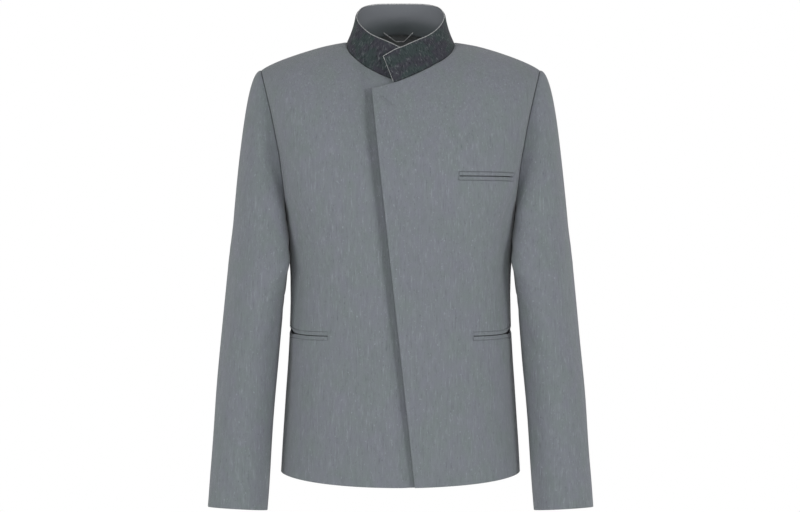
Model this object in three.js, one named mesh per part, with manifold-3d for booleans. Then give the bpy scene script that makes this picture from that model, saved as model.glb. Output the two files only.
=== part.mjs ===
// A short tailored jacket with a stand collar, a lapped diagonal front, two-piece sleeves and
// three jetted pockets. It keeps the shape it has when worn, with nobody in it.
//
// Millimetres. +Z is up, the front of the jacket faces -Y and the wearer's left is +X. The origin
// is midway between the two side neck points, where the jacket rests on the shoulders.
//
// Every piece of the body is cut from one smooth form. A place on that form is an angle and a
// rise. The angle is in degrees round the body, 0 at the front centre, 180 at the back centre and
// positive on the wearer's left. The rise is -1 at the hem, 0 at the chest and 1 at the top line of
// the shoulders.
import * as THREE from "three";
import Module from "manifold-3d";
import { mergeVertices } from "three/addons/utils/BufferGeometryUtils.js";

const wasm = await Module();
wasm.setup();

// Cloth
const CLOTH = 2.2; // wall of fronts, backs and sleeves
const COLLAR_CLOTH = 2.0;
const FACING_CLOTH = 1.2; // inside of the collar
const THIN_CLOTH = 1.0; // lining, pocket backing
const SEAM = 0.4; // gap between two pieces at a seam
const LAP = 4.9; // how far the lower front sinks below the upper one

// Body levels and widths
const CHEST_LEVEL = -235;
const SIDE_HEM_LEVEL = -641.5;
const FRONT_HEM_DROP = 11.5; // the hem is this much lower at the front centre
const BACK_HEM_DROP = 6;
const SHOULDER_HALF = 209; // centre to shoulder tip
const BACK_NECK_DEPTH = 59; // back neck point behind the shoulder tips
const NECK_BLEND_HALF = 125; // where the top line has come forward to the shoulder tips
const SHOULDER_TIP_BACK = 3;
const BACK_BLADE_SQUARENESS = 0.12; // fuller shoulder blades
const ARMHOLE_SQUARENESS = 0.5; // fuller towards the shoulder tip

// Armhole
const ARMHOLE_ANGLE = 70; // its front and back edges, measured from the front and back centre
const ARMHOLE_DIP = 23; // underarm below the chest level

// Rings of the body below the chest. half is the half width, front and back are the depths before
// and behind the shoulder tips, and square is 0 for an ellipse and more for a boxier ring.
const BODY = [
  { z: -660, half: 179.8, front: 121, back: 118, square: 0.1 },
  { z: -603, half: 177.0, front: 120, back: 116, square: 0.1 },
  { z: -535, half: 172.4, front: 117, back: 111, square: 0.1 },
  { z: -468, half: 168.0, front: 113, back: 105, square: 0.11 },
  { z: -400, half: 165.2, front: 111, back: 101, square: 0.12 },
  { z: -355, half: 164.9, front: 112, back: 103, square: 0.14 },
  { z: -311, half: 167.8, front: 115, back: 108, square: 0.17 },
  { z: -259, half: 172.8, front: 118, back: 113, square: 0.22 },
  { z: -235, half: 177.0, front: 118.5, back: 115, square: 0.25 },
];

// Top line of the shoulders and of the back neck, from the centre to the shoulder tip. The first
// row repeats the third on the other side, which keeps the line level at the centre.
const TOP_LINE = [
  { x: -42, z: 16.5 },
  { x: 0, z: 23.5 },
  { x: 42, z: 16.5 },
  { x: 63, z: 9 },
  { x: 80.5, z: 3.1 },
  { x: 96, z: -0.7 },
  { x: 120, z: -6.7 },
  { x: 141, z: -12.7 },
  { x: 159, z: -18.7 },
  { x: 175, z: -24.6 },
  { x: 189, z: -30.4 },
  { x: 201, z: -36.2 },
  { x: 209, z: -41 },
];

// Front neckline of one front seen from the front, from the side neck point. It ends with the
// collar, which is at the centre on the right and at the last row on the left. x is positive on the
// front's own side.
const SIDE_NECK_X = 80.5;
const NECKLINE = [
  { x: SIDE_NECK_X, z: 3.1 },
  { x: 80.2, z: -6 },
  { x: 77, z: -15 },
  { x: 66, z: -27.5 },
  { x: 50, z: -37.5 },
  { x: 27, z: -50 },
  { x: 0, z: -62 },
  { x: -9, z: -65.5 },
];

// Front edges. The left front laps over the right one with a slanting edge. x is positive on the
// wearer's left.
const LAP_TOP = { x: -42.2, z: -76.6 };
const LAP_HEM = { x: 20.4, z: -652 };
const UNDERLAP = 68; // the right front reaches this far under the left one
const RIGHT_FRONT_TOP_Z = -71;
const SINK_START = 22; // distance from the lapping edge where the right front starts to sink
const SINK_END = 2;
const LIFT_REACH = 48; // width of the lifted strip along the lapping edge
const LIFT = [
  { z: -660, lift: 1.2 },
  { z: -560, lift: 2.2 },
  { z: -420, lift: 3.6 },
  { z: -250, lift: 4.4 },
  { z: -140, lift: 3.4 },
  { z: -70, lift: 0.6 },
];

// Soft folds of the body: angle and level of the middle, half length, half width and depth of the
// trough, and how many millimetres it leans sideways over its length.
const BODY_FOLDS = [
  { angle: 62, z: -330, length: 105, width: 17, depth: 2.4, lean: -18 },
  { angle: -60, z: -322, length: 98, width: 16, depth: 2.2, lean: 14 },
  { angle: 74, z: -520, length: 90, width: 20, depth: 2.0, lean: 10 },
  { angle: -75, z: -530, length: 96, width: 19, depth: 2.2, lean: -12 },
  { angle: 128, z: -330, length: 95, width: 18, depth: 2.8, lean: 16 },
  { angle: -130, z: -345, length: 100, width: 19, depth: 2.6, lean: -14 },
  { angle: 158, z: -560, length: 70, width: 20, depth: 2.0, lean: -8 },
  { angle: -156, z: -552, length: 76, width: 18, depth: 1.8, lean: 10 },
];

// Sleeve rings, of the wearer's left sleeve. x and y are the centre. lean is how far the side that
// faces the body comes forward and the other side goes back.
const SLEEVE = [
  { z: -700, x: 241.4, half: 44.4, y: -42, depth: 41, lean: 2 },
  { z: -670, x: 239.3, half: 44.4, y: -39, depth: 42.5, lean: 3 },
  { z: -603, x: 235.2, half: 44.4, y: -31, depth: 46.5, lean: 5 },
  { z: -535, x: 231.0, half: 44.7, y: -23, depth: 51, lean: 7 },
  { z: -468, x: 225.4, half: 44.9, y: -17, depth: 55, lean: 9 },
  { z: -400, x: 219.6, half: 45.0, y: -13, depth: 59, lean: 12 },
  { z: -355, x: 214.8, half: 45.6, y: -13, depth: 62, lean: 14 },
  { z: -333, x: 212.7, half: 45.7, y: -13, depth: 63, lean: 14 },
  { z: -311, x: 211.6, half: 44.6, y: -10, depth: 64, lean: 12 },
  { z: -290, x: 211.5, half: 42.1, y: -6, depth: 65, lean: 8 },
  { z: -268, x: 211.6, half: 39.2, y: -2, depth: 66, lean: 3 },
];
const SLEEVE_TOP_RING = -268;
const CUFF_LEVEL = -692.5;
const CUFF_SLOPE = { across: 0.055, along: 0.1 }; // the cuff is square to the leaning sleeve
const CAP_REACH = 20; // how far the sleeve head runs outwards before it falls
const CAP_SWAY = 0.45; // share of its way forward or back that the head makes before it falls
const CAP_FALL = 0.55; // share of the cap's height that falls straight
const CAP_LEAN = 0.1;
const SLEEVE_SEAM_GAP = 0.4; // degrees, half the gap at a sleeve's seams
const SLEEVE_SEAM_ROW = 5; // row of the armhole's back edge where the sleeve's back seam starts

// Soft folds of the sleeves, with the angle round the sleeve: 0 faces the body and 90 the front.
const SLEEVE_FOLDS = [
  { angle: 38, z: -322, length: 26, width: 15, depth: 2.6, lean: -30 },
  { angle: 52, z: -452, length: 22, width: 13, depth: 1.8, lean: -22 },
  { angle: 318, z: -420, length: 26, width: 15, depth: 2.4, lean: 26 },
  { angle: 225, z: -345, length: 60, width: 15, depth: 2.0, lean: 12 },
];

// Top edge of the collar on one side, from the back centre to its front end, which is the last row
// on the left and the row before it on the right.
const COLLAR_TOP = [
  { x: 0, y: 55, z: 65.2 },
  { x: 20, y: 54, z: 64.9 },
  { x: 37, y: 49, z: 63.6 },
  { x: 51, y: 40, z: 60.4 },
  { x: 62, y: 25, z: 54 },
  { x: 67.6, y: 5, z: 41.5 },
  { x: 66, y: -10, z: 33 },
  { x: 62.5, y: -22, z: 25.7 },
  { x: 54, y: -38, z: 15 },
  { x: 41, y: -50, z: 5 },
  { x: 27.6, y: -57.5, z: -1.5 },
  { x: 14.5, y: -62.5, z: -7.7 },
  { x: 5, y: -65, z: -12.2 },
  { x: -6.6, y: -65.8, z: -16.5 },
  { x: -24.7, y: -64.6, z: -26.3 },
];
const COLLAR_HOLLOW = 1.6; // the band curves in by this much at half height
const SINK_FROM = 0.55; // share of the right side where its top edge starts to sink under the left
const SINK_OVER = 0.17;
const FLAT_FROM = 0.5; // share of the left side where the band starts to go flat
const FLAT_OVER = 0.2;
const FACING_FOOT = 0.025; // the facing starts this far up the band
const PIPING_RADIUS = 0.85;
const PIPING_SIDES = 5;
const PIPING_END = [0.75, 0.5, 0.25, 0.04]; // its bends down the left end, as shares of the band's height

// Pockets. The middle of the mouth, in degrees for its ends and at its level.
const JET_HEIGHT = 5.2;
const JET_CLOTH = 1.1;
const JET_GAP = 0.5; // between a jet and the panel that it lies on
const BACKING_GAP = 0.9; // between a panel and what lies inside it
const MOUTH = 0.5; // half height of a closed pocket mouth
const HIP_POCKET = { from: 36.5, to: 103, z: -436.5, rise: 9, gape: 2.3, gapeAt: 86, gapeWidth: 10 };
const BREAST_POCKET = { fromX: 84.5, toX: 165.5, z: -204 };
const BACKING = { low: -34, high: 16, rows: 3 }; // heights of its edges from the mouth's middle

// Pieces inside the neck
const LINING_GAP = 1.5; // between the back and its lining
const LINED_ROWS = 4; // rows of the back, counted from its top
const LINING_DROP = 0.012; // its top edge is this rise below the neckline
const LOOP = { left: -26, right: 19, leftCorner: -7, rightCorner: 5, top: 22.5, bottom: 8.5 };
const LOOP_BAND = 2.2; // width of the tape between its corners
const LOOP_END_BAND = 2.9; // upright width of its slanting ends
const LOOP_BACK = 52;
const LOOP_CLOTH = 1.0;

// Fineness of the walls
const FREE_COLUMNS = 2; // columns of a front that end at its free top edge
const NECK_COLUMNS = 7; // at the neckline
const SHOULDER_COLUMNS = 7; // at the shoulder seam
const SIDE_COLUMNS = 6; // under the armhole
const BACK_NECK_COLUMNS = 5;
const LINED_COLUMNS = 8; // columns of each back that the lining covers
const BODY_ROWS = 13;
const CHEST_ROWS = 9;
const SLEEVE_ROWS = 12;
const CAP_ROWS = 7;
const CAP_CROWDING = 1.3; // over 1 puts more of the cap's rows near the armhole
const COLLAR_ROWS = 3;
const COLLAR_STEPS = 2; // collar columns to a column of the neckline
const FRONT_COLUMNS = FREE_COLUMNS + NECK_COLUMNS + SHOULDER_COLUMNS;
const BACK_COLUMNS = BACK_NECK_COLUMNS + SHOULDER_COLUMNS;
const NECKLINE_STEPS = 48; // along which the neckline is measured
const COLLAR_EDGE_STEPS = 90;
const HALVINGS = 40; // of an interval, to find a crossing
const POCKET_END_ROOM = 1; // degrees between a pocket's end and its nearest bend

// Small moves over the body, the sleeve and the collar that measure a direction there.
const NUDGE = { angle: 0.2, rise: 0.004, turn: 0.5, down: 0.01, share: 0.02, up: 0.05 };
// Length of a ring to one degree, near enough to place the folds.
const BODY_DEGREE = 2.6;
const SLEEVE_DEGREE = 0.95;

const SAME = 1e-3; // points closer than this are one
const degrees = THREE.MathUtils.degToRad;
const smooth = (t) => THREE.MathUtils.smoothstep(t, 0, 1);
const mix = THREE.MathUtils.lerp;

// Slope of one column of a table at a row, which never overshoots.
function slopeAt(rows, key, name, i) {
  const step = (k) => (rows[k + 1][name] - rows[k][name]) / (rows[k + 1][key] - rows[k][key]);
  if (i === 0) return step(0);
  if (i === rows.length - 1) return step(i - 1);
  const before = step(i - 1);
  const after = step(i);
  return before * after <= 0 ? 0 : (2 * before * after) / (before + after);
}

// Smooth value of one column of a table, at a value of its key column.
function look(rows, key, name, at) {
  let i = 0;
  while (i < rows.length - 2 && at > rows[i + 1][key]) i++;
  const span = rows[i + 1][key] - rows[i][key];
  const t = THREE.MathUtils.clamp((at - rows[i][key]) / span, 0, 1);
  const start = slopeAt(rows, key, name, i) * span;
  const end = slopeAt(rows, key, name, i + 1) * span;
  const change = rows[i + 1][name] - rows[i][name];
  return rows[i][name] + t * (start + t * (3 * change - 2 * start - end + t * (start + end - 2 * change)));
}

// Where a rising function crosses zero between two limits.
function crossing(low, high, value) {
  for (let n = 0; n < HALVINGS; n++) {
    const middle = (low + high) / 2;
    if (value(middle) < 0) low = middle;
    else high = middle;
  }
  return (low + high) / 2;
}

// The body form

// Depth of the soft folds at a place, given the length of the ring to one degree.
function foldDepth(folds, angle, z, degreeLength) {
  let depth = 0;
  for (const fold of folds) {
    const along = (z - fold.z) / fold.length;
    const turn = ((angle - fold.angle + 540) % 360) - 180;
    const across = (turn * degreeLength - along * fold.lean) / fold.width;
    depth += fold.depth * Math.exp(-across * across) * Math.exp(-Math.pow(along, 4));
  }
  return depth;
}

function hemLevel(angle) {
  const facing = Math.cos(degrees(angle));
  return SIDE_HEM_LEVEL - (facing > 0 ? FRONT_HEM_DROP : BACK_HEM_DROP) * facing * facing;
}

// Half of a body ring: how far out and how far forward or back, at an angle from its own centre.
function ringPoint(z, angle, depthName) {
  const turn = degrees(angle);
  const square = look(BODY, "z", "square", z);
  return {
    x: look(BODY, "z", "half", z) * Math.sin(turn) * (1 + square * Math.cos(turn) ** 2),
    y: look(BODY, "z", depthName, z) * Math.cos(turn) * (1 + square * Math.sin(turn) ** 2),
  };
}

const CHEST_EDGE_X = ringPoint(CHEST_LEVEL, ARMHOLE_ANGLE, "front").x;

function topLineY(x) {
  const near = Math.max(0, 1 - (x / NECK_BLEND_HALF) ** 2);
  return SHOULDER_TIP_BACK + BACK_NECK_DEPTH * near * near;
}

// The place on the smooth form at an angle and a rise.
function body(angle, rise) {
  const wrapped = angle > 180 ? angle - 360 : angle;
  const side = wrapped < 0 ? -1 : 1;
  const turn = Math.abs(wrapped);
  const behind = turn > 90;
  const own = behind ? 180 - turn : turn;
  const forward = behind ? 1 : -1;
  const depthName = behind ? "back" : "front";
  if (rise <= 0) {
    const z = CHEST_LEVEL + rise * (CHEST_LEVEL - hemLevel(angle));
    const at = ringPoint(z, own, depthName);
    return new THREE.Vector3(side * at.x, forward * at.y, z);
  }
  const chest = ringPoint(CHEST_LEVEL, own, depthName);
  const outwards = chest.x / CHEST_EDGE_X;
  const topX = SHOULDER_HALF * outwards;
  const topY = topLineY(topX);
  const topZ = look(TOP_LINE, "x", "z", topX);
  const up = Math.sin((rise * Math.PI) / 2);
  const level = Math.cos((rise * Math.PI) / 2);
  const square = mix(behind ? BACK_BLADE_SQUARENESS : 0, ARMHOLE_SQUARENESS, outwards ** 3);
  return new THREE.Vector3(
    side * mix(chest.x, topX, (up + up * up) / 2),
    topY + (forward * chest.y - topY) * level * (1 + square * up * up),
    CHEST_LEVEL + (topZ - CHEST_LEVEL) * up,
  );
}

// The way out of the cloth at a place on the form.
function bodyNormal(angle, rise) {
  const high = Math.min(rise + NUDGE.rise, 1);
  const low = high - 2 * NUDGE.rise;
  const round = body(angle + NUDGE.angle, rise).sub(body(angle - NUDGE.angle, rise));
  const upward = body(angle, high).sub(body(angle, low));
  return round.cross(upward).normalize();
}

// A point of the cloth's outside, moved out by `out` from the creased form.
function onBody(angle, rise, out) {
  const at = body(angle, rise);
  return at.addScaledVector(bodyNormal(angle, rise), out - foldDepth(BODY_FOLDS, angle, at.z, BODY_DEGREE));
}

// The rise of a level at an angle.
function riseAt(angle, z) {
  if (z <= CHEST_LEVEL) return (z - CHEST_LEVEL) / (CHEST_LEVEL - hemLevel(angle));
  const top = body(angle, 1).z;
  return (Math.asin(Math.min(1, (z - CHEST_LEVEL) / (top - CHEST_LEVEL))) * 2) / Math.PI;
}

// The angle and rise of a place on one front, from where it is seen from the front. x is positive
// on the front's own side.
function seenAt(x, z) {
  const angle = crossing(-ARMHOLE_ANGLE, ARMHOLE_ANGLE, (a) => body(a, riseAt(a, z)).x - x);
  return { angle, rise: riseAt(angle, z) };
}

// The two fronts

// x of the lapping edge, on the wearer's left positive.
function lapEdge(z) {
  return mix(LAP_TOP.x, LAP_HEM.x, (z - LAP_TOP.z) / (LAP_HEM.z - LAP_TOP.z));
}

// A front's own edge, with x positive on its own side.
function frontEdge(side, z) {
  return side > 0 ? lapEdge(z) : -(lapEdge(z) + UNDERLAP);
}

function edgeAngle(side, rise) {
  return crossing(-ARMHOLE_ANGLE, ARMHOLE_ANGLE, (a) => {
    const at = body(a, rise);
    return at.x - frontEdge(side, at.z);
  });
}

// How far a place on a front lies off the form: the left front lifts along its edge, and the right
// one sinks under it.
function frontOffset(side, at) {
  const past = at.x - lapEdge(at.z);
  if (side < 0) return -LAP * smooth((past + SINK_START) / (SINK_START - SINK_END));
  const share = Math.max(0, 1 - past / LIFT_REACH);
  return look(LIFT, "z", "lift", at.z) * share * share;
}

function onFront(side, angle, rise, out) {
  const own = side * angle;
  return onBody(own, rise, out + frontOffset(side, body(own, rise)));
}

// The rise at which a front or back stops short of the shoulder seam.
function seamRise(angle) {
  const away = Math.abs(body(angle, 0).y - body(angle, 1).y);
  return 1 - ((SEAM / 2 / away) * 2) / Math.PI;
}

// Top edge of a front at a column: its free corner, then the neckline, then the shoulder seam.
function frontTop(side, column) {
  const end = ownRows(NECKLINE, side).pop();
  if (column < FREE_COLUMNS) {
    const corner = side > 0 ? LAP_TOP : { x: frontEdge(side, RIGHT_FRONT_TOP_Z), z: RIGHT_FRONT_TOP_Z };
    const share = column / FREE_COLUMNS;
    return seenAt(mix(corner.x, end.x, share), mix(corner.z, end.z, share));
  }
  if (column <= FREE_COLUMNS + NECK_COLUMNS) {
    return necklineAt(side, (FREE_COLUMNS + NECK_COLUMNS - column) / NECK_COLUMNS);
  }
  return shoulderAt((column - FREE_COLUMNS - NECK_COLUMNS) / SHOULDER_COLUMNS);
}

// The rows that belong to one side, of a table whose last row is for the left side alone.
function ownRows(rows, side) {
  return side > 0 ? [...rows] : rows.slice(0, -1);
}

// A place on the front neckline, by its share of the way from the side neck point to its end. The
// way is measured along the cloth.
function necklineAt(side, share) {
  const rows = ownRows(NECKLINE, side).map((p, i) => ({ ...p, i }));
  const places = [];
  for (let n = 0; n <= NECKLINE_STEPS; n++) {
    const i = (n / NECKLINE_STEPS) * (rows.length - 1);
    places.push(seenAt(look(rows, "i", "x", i), look(rows, "i", "z", i)));
  }
  const line = measured(places.map((place) => body(place.angle, place.rise)));
  const table = places.map((place, n) => ({ ...place, share: line.lengths[n] / line.total }));
  const angle = look(table, "share", "angle", share);
  return { angle, rise: Math.min(look(table, "share", "rise", share), seamRise(angle)) };
}

// A place on the front's edge at the shoulder seam, by its share of the way to the shoulder tip.
function shoulderAt(share) {
  const start = seenAt(SIDE_NECK_X, NECKLINE[0].z).angle;
  const angle = mix(start, ARMHOLE_ANGLE, share);
  return { angle, rise: seamRise(angle) };
}

// Angles of a front's columns at a rise: from its edge to the armhole, then under it.
function frontAngle(side, column, rise) {
  if (column > FRONT_COLUMNS) {
    const round = (Math.PI * (column - FRONT_COLUMNS)) / SIDE_COLUMNS;
    return 90 - (90 - ARMHOLE_ANGLE) * Math.cos(round);
  }
  return mix(edgeAngle(side, rise), ARMHOLE_ANGLE, column / FRONT_COLUMNS);
}

function underarmRise(angle) {
  const share = Math.min(1, Math.abs(angle - 90) / (90 - ARMHOLE_ANGLE));
  return riseAt(angle, CHEST_LEVEL - ARMHOLE_DIP * Math.sqrt(1 - share * share));
}

// The angle and rise of one grid point of a front.
function frontPlace(side, column, row) {
  const sideSeam = 180 - ARMHOLE_ANGLE - seamAngle();
  if (row <= BODY_ROWS) {
    const up = row / BODY_ROWS;
    if (column <= FRONT_COLUMNS) {
      return { angle: frontAngle(side, column, up - 1), rise: up - 1 };
    }
    const angle = Math.min(frontAngle(side, column, 0), sideSeam);
    return { angle, rise: mix(-1, underarmRise(angle), up) };
  }
  const across = column / FRONT_COLUMNS;
  const up = (row - BODY_ROWS) / CHEST_ROWS;
  const top = frontTop(side, column);
  const corner = frontTop(side, 0);
  const tip = frontTop(side, FRONT_COLUMNS);
  const left = { angle: edgeAngle(side, up * corner.rise), rise: up * corner.rise };
  return {
    angle:
      mix(frontAngle(side, column, 0), top.angle, up) +
      mix(left.angle, ARMHOLE_ANGLE, across) -
      mix(mix(frontAngle(side, 0, 0), ARMHOLE_ANGLE, across), mix(corner.angle, tip.angle, across), up),
    rise: mix(0, top.rise, up) + mix(left.rise, up * tip.rise, across) - up * mix(corner.rise, tip.rise, across),
  };
}

// Half a seam gap as an angle of the body.
function seamAngle() {
  return SEAM / 2 / BODY_DEGREE;
}

// Walls

// Closed wall between two sheets of matching points, with a rim along every free edge.
function wall(outer, inner, quads) {
  const count = outer.length;
  const faces = [];
  const edges = new Map();
  for (const quad of quads) {
    const [a, b, c, d] = quad;
    faces.push([a, b, c], [a, c, d], [a + count, c + count, b + count], [a + count, d + count, c + count]);
    quad.forEach((from, i) => edges.set(from + "_" + quad[(i + 1) % 4], [from, quad[(i + 1) % 4]]));
  }
  for (const [from, to] of edges.values()) {
    if (edges.has(to + "_" + from)) continue;
    faces.push([to, from, from + count], [to, from + count, to + count]);
  }
  return closed([...outer, ...inner], faces);
}

// Geometry of a closed surface, with its faces turned outwards.
function closed(points, faces) {
  let volume = 0;
  for (const [a, b, c] of faces) {
    volume += points[a].dot(points[b].clone().cross(points[c]));
  }
  const order = volume < 0 ? faces.map(([a, b, c]) => [a, c, b]) : faces;
  const geometry = new THREE.BufferGeometry();
  geometry.setAttribute("position", new THREE.Float32BufferAttribute(points.flatMap((p) => p.toArray()), 3));
  geometry.setIndex(order.flat());
  return geometry;
}

// Quads of a grid of points, row by row, leaving out those that `skip` names.
function gridQuads(columns, rows, skip = () => false) {
  const quads = [];
  for (let j = 0; j < rows; j++) {
    for (let i = 0; i < columns; i++) {
      if (skip(i, j)) continue;
      const a = j * (columns + 1) + i;
      quads.push([a, a + 1, a + columns + 2, a + columns + 1]);
    }
  }
  return quads;
}

// Wall over a grid, from the function that gives its point at (column, row, out).
function gridWall(columns, rows, from, to, point, skip) {
  const sheet = (out) => {
    const points = [];
    for (let j = 0; j <= rows; j++) {
      for (let i = 0; i <= columns; i++) {
        points.push(point(i, j, out));
      }
    }
    return points;
  };
  return wall(sheet(from), sheet(to), gridQuads(columns, rows, skip));
}

function solidOf(geometry) {
  const shared = new THREE.BufferGeometry();
  shared.setAttribute("position", geometry.getAttribute("position"));
  shared.setIndex(geometry.index);
  const merged = mergeVertices(shared, SAME);
  const mesh = new wasm.Mesh({
    numProp: 3,
    vertProperties: merged.attributes.position.array,
    triVerts: new Uint32Array(merged.index.array),
  });
  return new wasm.Manifold(mesh);
}

function geometryOf(solid) {
  const mesh = solid.getMesh();
  const geometry = new THREE.BufferGeometry();
  geometry.setAttribute("position", new THREE.BufferAttribute(new Float32Array(mesh.vertProperties), 3));
  geometry.setIndex(new THREE.BufferAttribute(new Uint32Array(mesh.triVerts), 1));
  return geometry;
}

// Pockets

// Angles at which a pocket is bent, which are its panel's own columns between its two ends.
function pocketStations(side, from, to, rise) {
  const stations = [from];
  for (let column = 0; column <= FRONT_COLUMNS + SIDE_COLUMNS; column++) {
    const angle = frontAngle(side, column, rise);
    if (angle > from + POCKET_END_ROOM && angle < to - POCKET_END_ROOM) stations.push(angle);
  }
  return [...stations, to];
}

// Middle level and half opening of the mouth of a hip pocket.
function hipMouth(angle) {
  const share = (angle - HIP_POCKET.from) / (HIP_POCKET.to - HIP_POCKET.from);
  const near = (angle - HIP_POCKET.gapeAt) / HIP_POCKET.gapeWidth;
  return {
    z: HIP_POCKET.z + HIP_POCKET.rise * share ** 3,
    half: MOUTH + HIP_POCKET.gape * Math.exp(-near * near),
  };
}

function breastMouth() {
  return { z: BREAST_POCKET.z, half: MOUTH };
}

// A strip along a pocket mouth between two heights over its middle.
function pocketStrip(side, stations, mouth, rows, low, high, from, to) {
  return gridWall(stations.length - 1, rows, from, to, (i, j, out) => {
    const angle = stations[i];
    const at = mouth(angle);
    const z = at.z + mix(low(at.half), high(at.half), j / rows);
    return onFront(side, angle, riseAt(angle, z), out);
  });
}

function pocket(side, stations, mouth) {
  const upper = [1, (half) => half, (half) => half + JET_HEIGHT];
  const lower = [1, (half) => -half - JET_HEIGHT, (half) => -half];
  const backing = [BACKING.rows, () => BACKING.low, () => BACKING.high];
  const opening = [1, (half) => -half, (half) => half];
  const strip = (edges, from, to) => pocketStrip(side, stations, mouth, ...edges, from, to);
  return {
    upperJet: strip(upper, JET_GAP + JET_CLOTH, JET_GAP),
    lowerJet: strip(lower, JET_GAP + JET_CLOTH, JET_GAP),
    backing: strip(backing, -CLOTH - BACKING_GAP, -CLOTH - BACKING_GAP - THIN_CLOTH),
    cutter: strip(opening, JET_GAP, -CLOTH - BACKING_GAP / 2),
  };
}

function hipPocket(side) {
  const rise = riseAt((HIP_POCKET.from + HIP_POCKET.to) / 2, HIP_POCKET.z);
  return pocket(side, pocketStations(side, HIP_POCKET.from, HIP_POCKET.to, rise), hipMouth);
}

function breastPocket() {
  const inner = seenAt(BREAST_POCKET.fromX, BREAST_POCKET.z);
  const outer = seenAt(BREAST_POCKET.toX, BREAST_POCKET.z);
  return pocket(1, pocketStations(1, inner.angle, outer.angle, 0), breastMouth);
}

function front(side, pockets) {
  const columns = FRONT_COLUMNS + SIDE_COLUMNS;
  const rows = BODY_ROWS + CHEST_ROWS;
  const places = new Map();
  const place = (i, j) => {
    const key = i + "_" + j;
    if (!places.has(key)) places.set(key, frontPlace(side, Math.min(i, j > BODY_ROWS ? FRONT_COLUMNS : i), j));
    return places.get(key);
  };
  const cloth = gridWall(
    columns,
    rows,
    0,
    -CLOTH,
    (i, j, out) => onFront(side, place(i, j).angle, place(i, j).rise, out),
    (i, j) => j >= BODY_ROWS && i >= FRONT_COLUMNS,
  );
  let solid = solidOf(cloth);
  for (const { cutter } of pockets) {
    solid = solid.subtract(solidOf(cutter));
  }
  return geometryOf(solid);
}

// The back

// Angle and rise of one grid point of the back, on the wearer's left. A column under 0 is on the
// other half.
function backPlace(column, row) {
  const past = Math.abs(column) - BACK_NECK_COLUMNS;
  const neck = shoulderAt(0).angle;
  const turn = past <= 0 ? mix(neck, 0, -past / BACK_NECK_COLUMNS) : shoulderAt(past / SHOULDER_COLUMNS).angle;
  const angle = 180 - turn;
  const rise = row <= BODY_ROWS ? row / BODY_ROWS - 1 : ((row - BODY_ROWS) / CHEST_ROWS) * seamRise(angle);
  return { angle: column < 0 ? -angle : angle, rise };
}

function back(side) {
  return gridWall(BACK_COLUMNS, BODY_ROWS + CHEST_ROWS, 0, -CLOTH, (i, j, out) => {
    const place = backPlace(i, j);
    const angle = THREE.MathUtils.clamp(
      place.angle,
      180 - ARMHOLE_ANGLE + seamAngle(),
      180 - seamAngle(),
    );
    return onBody(side * angle, place.rise, out);
  });
}

function neckLining() {
  const depth = CLOTH + LINING_GAP;
  return gridWall(2 * LINED_COLUMNS, LINED_ROWS, -depth, -depth - THIN_CLOTH, (i, j, out) => {
    const place = backPlace(i - LINED_COLUMNS, BODY_ROWS + CHEST_ROWS - LINED_ROWS + j);
    return onBody(place.angle, place.rise - (j === LINED_ROWS ? LINING_DROP : 0), out);
  });
}

// Sleeves, made for the wearer's left and mirrored for the right

// The armhole's corners as two lines, from the underarm up to the shoulder tip.
function armholeLines() {
  const front = [];
  const behind = [];
  for (let i = 0; i <= SIDE_COLUMNS / 2; i++) {
    const turn = frontAngle(1, FRONT_COLUMNS + SIDE_COLUMNS / 2 - i, 0);
    front.push(onBody(turn, underarmRise(turn), 0));
    behind.push(onBody(180 - turn, underarmRise(turn), 0));
  }
  for (let j = 1; j <= CHEST_ROWS; j++) {
    const rise = (j / CHEST_ROWS) * seamRise(ARMHOLE_ANGLE);
    front.push(onBody(ARMHOLE_ANGLE, rise, 0));
    behind.push(onBody(180 - ARMHOLE_ANGLE, rise, 0));
  }
  front.push(onBody(ARMHOLE_ANGLE, 1, 0));
  behind.push(onBody(ARMHOLE_ANGLE, 1, 0));
  return { front: measured(front), behind: measured(behind) };
}

// A line of points with the distance along it, and the point at a share of its length.
function measured(points) {
  const lengths = [0];
  for (let i = 1; i < points.length; i++) {
    lengths.push(lengths[i - 1] + points[i].distanceTo(points[i - 1]));
  }
  return { points, lengths, total: lengths[lengths.length - 1] };
}

function pointAlong(line, share) {
  const s = share * line.total;
  let i = 0;
  while (i < line.points.length - 2 && s > line.lengths[i + 1]) i++;
  const t = (s - line.lengths[i]) / (line.lengths[i + 1] - line.lengths[i]);
  return line.points[i].clone().lerp(line.points[i + 1], t);
}

const ARMHOLE = armholeLines();

function armholePoint(turn) {
  const own = (turn + 360) % 360;
  return own <= 180 ? pointAlong(ARMHOLE.front, own / 180) : pointAlong(ARMHOLE.behind, (360 - own) / 180);
}

function sleeveRing(turn, z) {
  const round = degrees(turn);
  return new THREE.Vector3(
    look(SLEEVE, "z", "x", z) - look(SLEEVE, "z", "half", z) * Math.cos(round),
    look(SLEEVE, "z", "y", z) - look(SLEEVE, "z", "depth", z) * Math.sin(round) -
      look(SLEEVE, "z", "lean", z) * Math.cos(round),
    z,
  );
}

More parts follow.
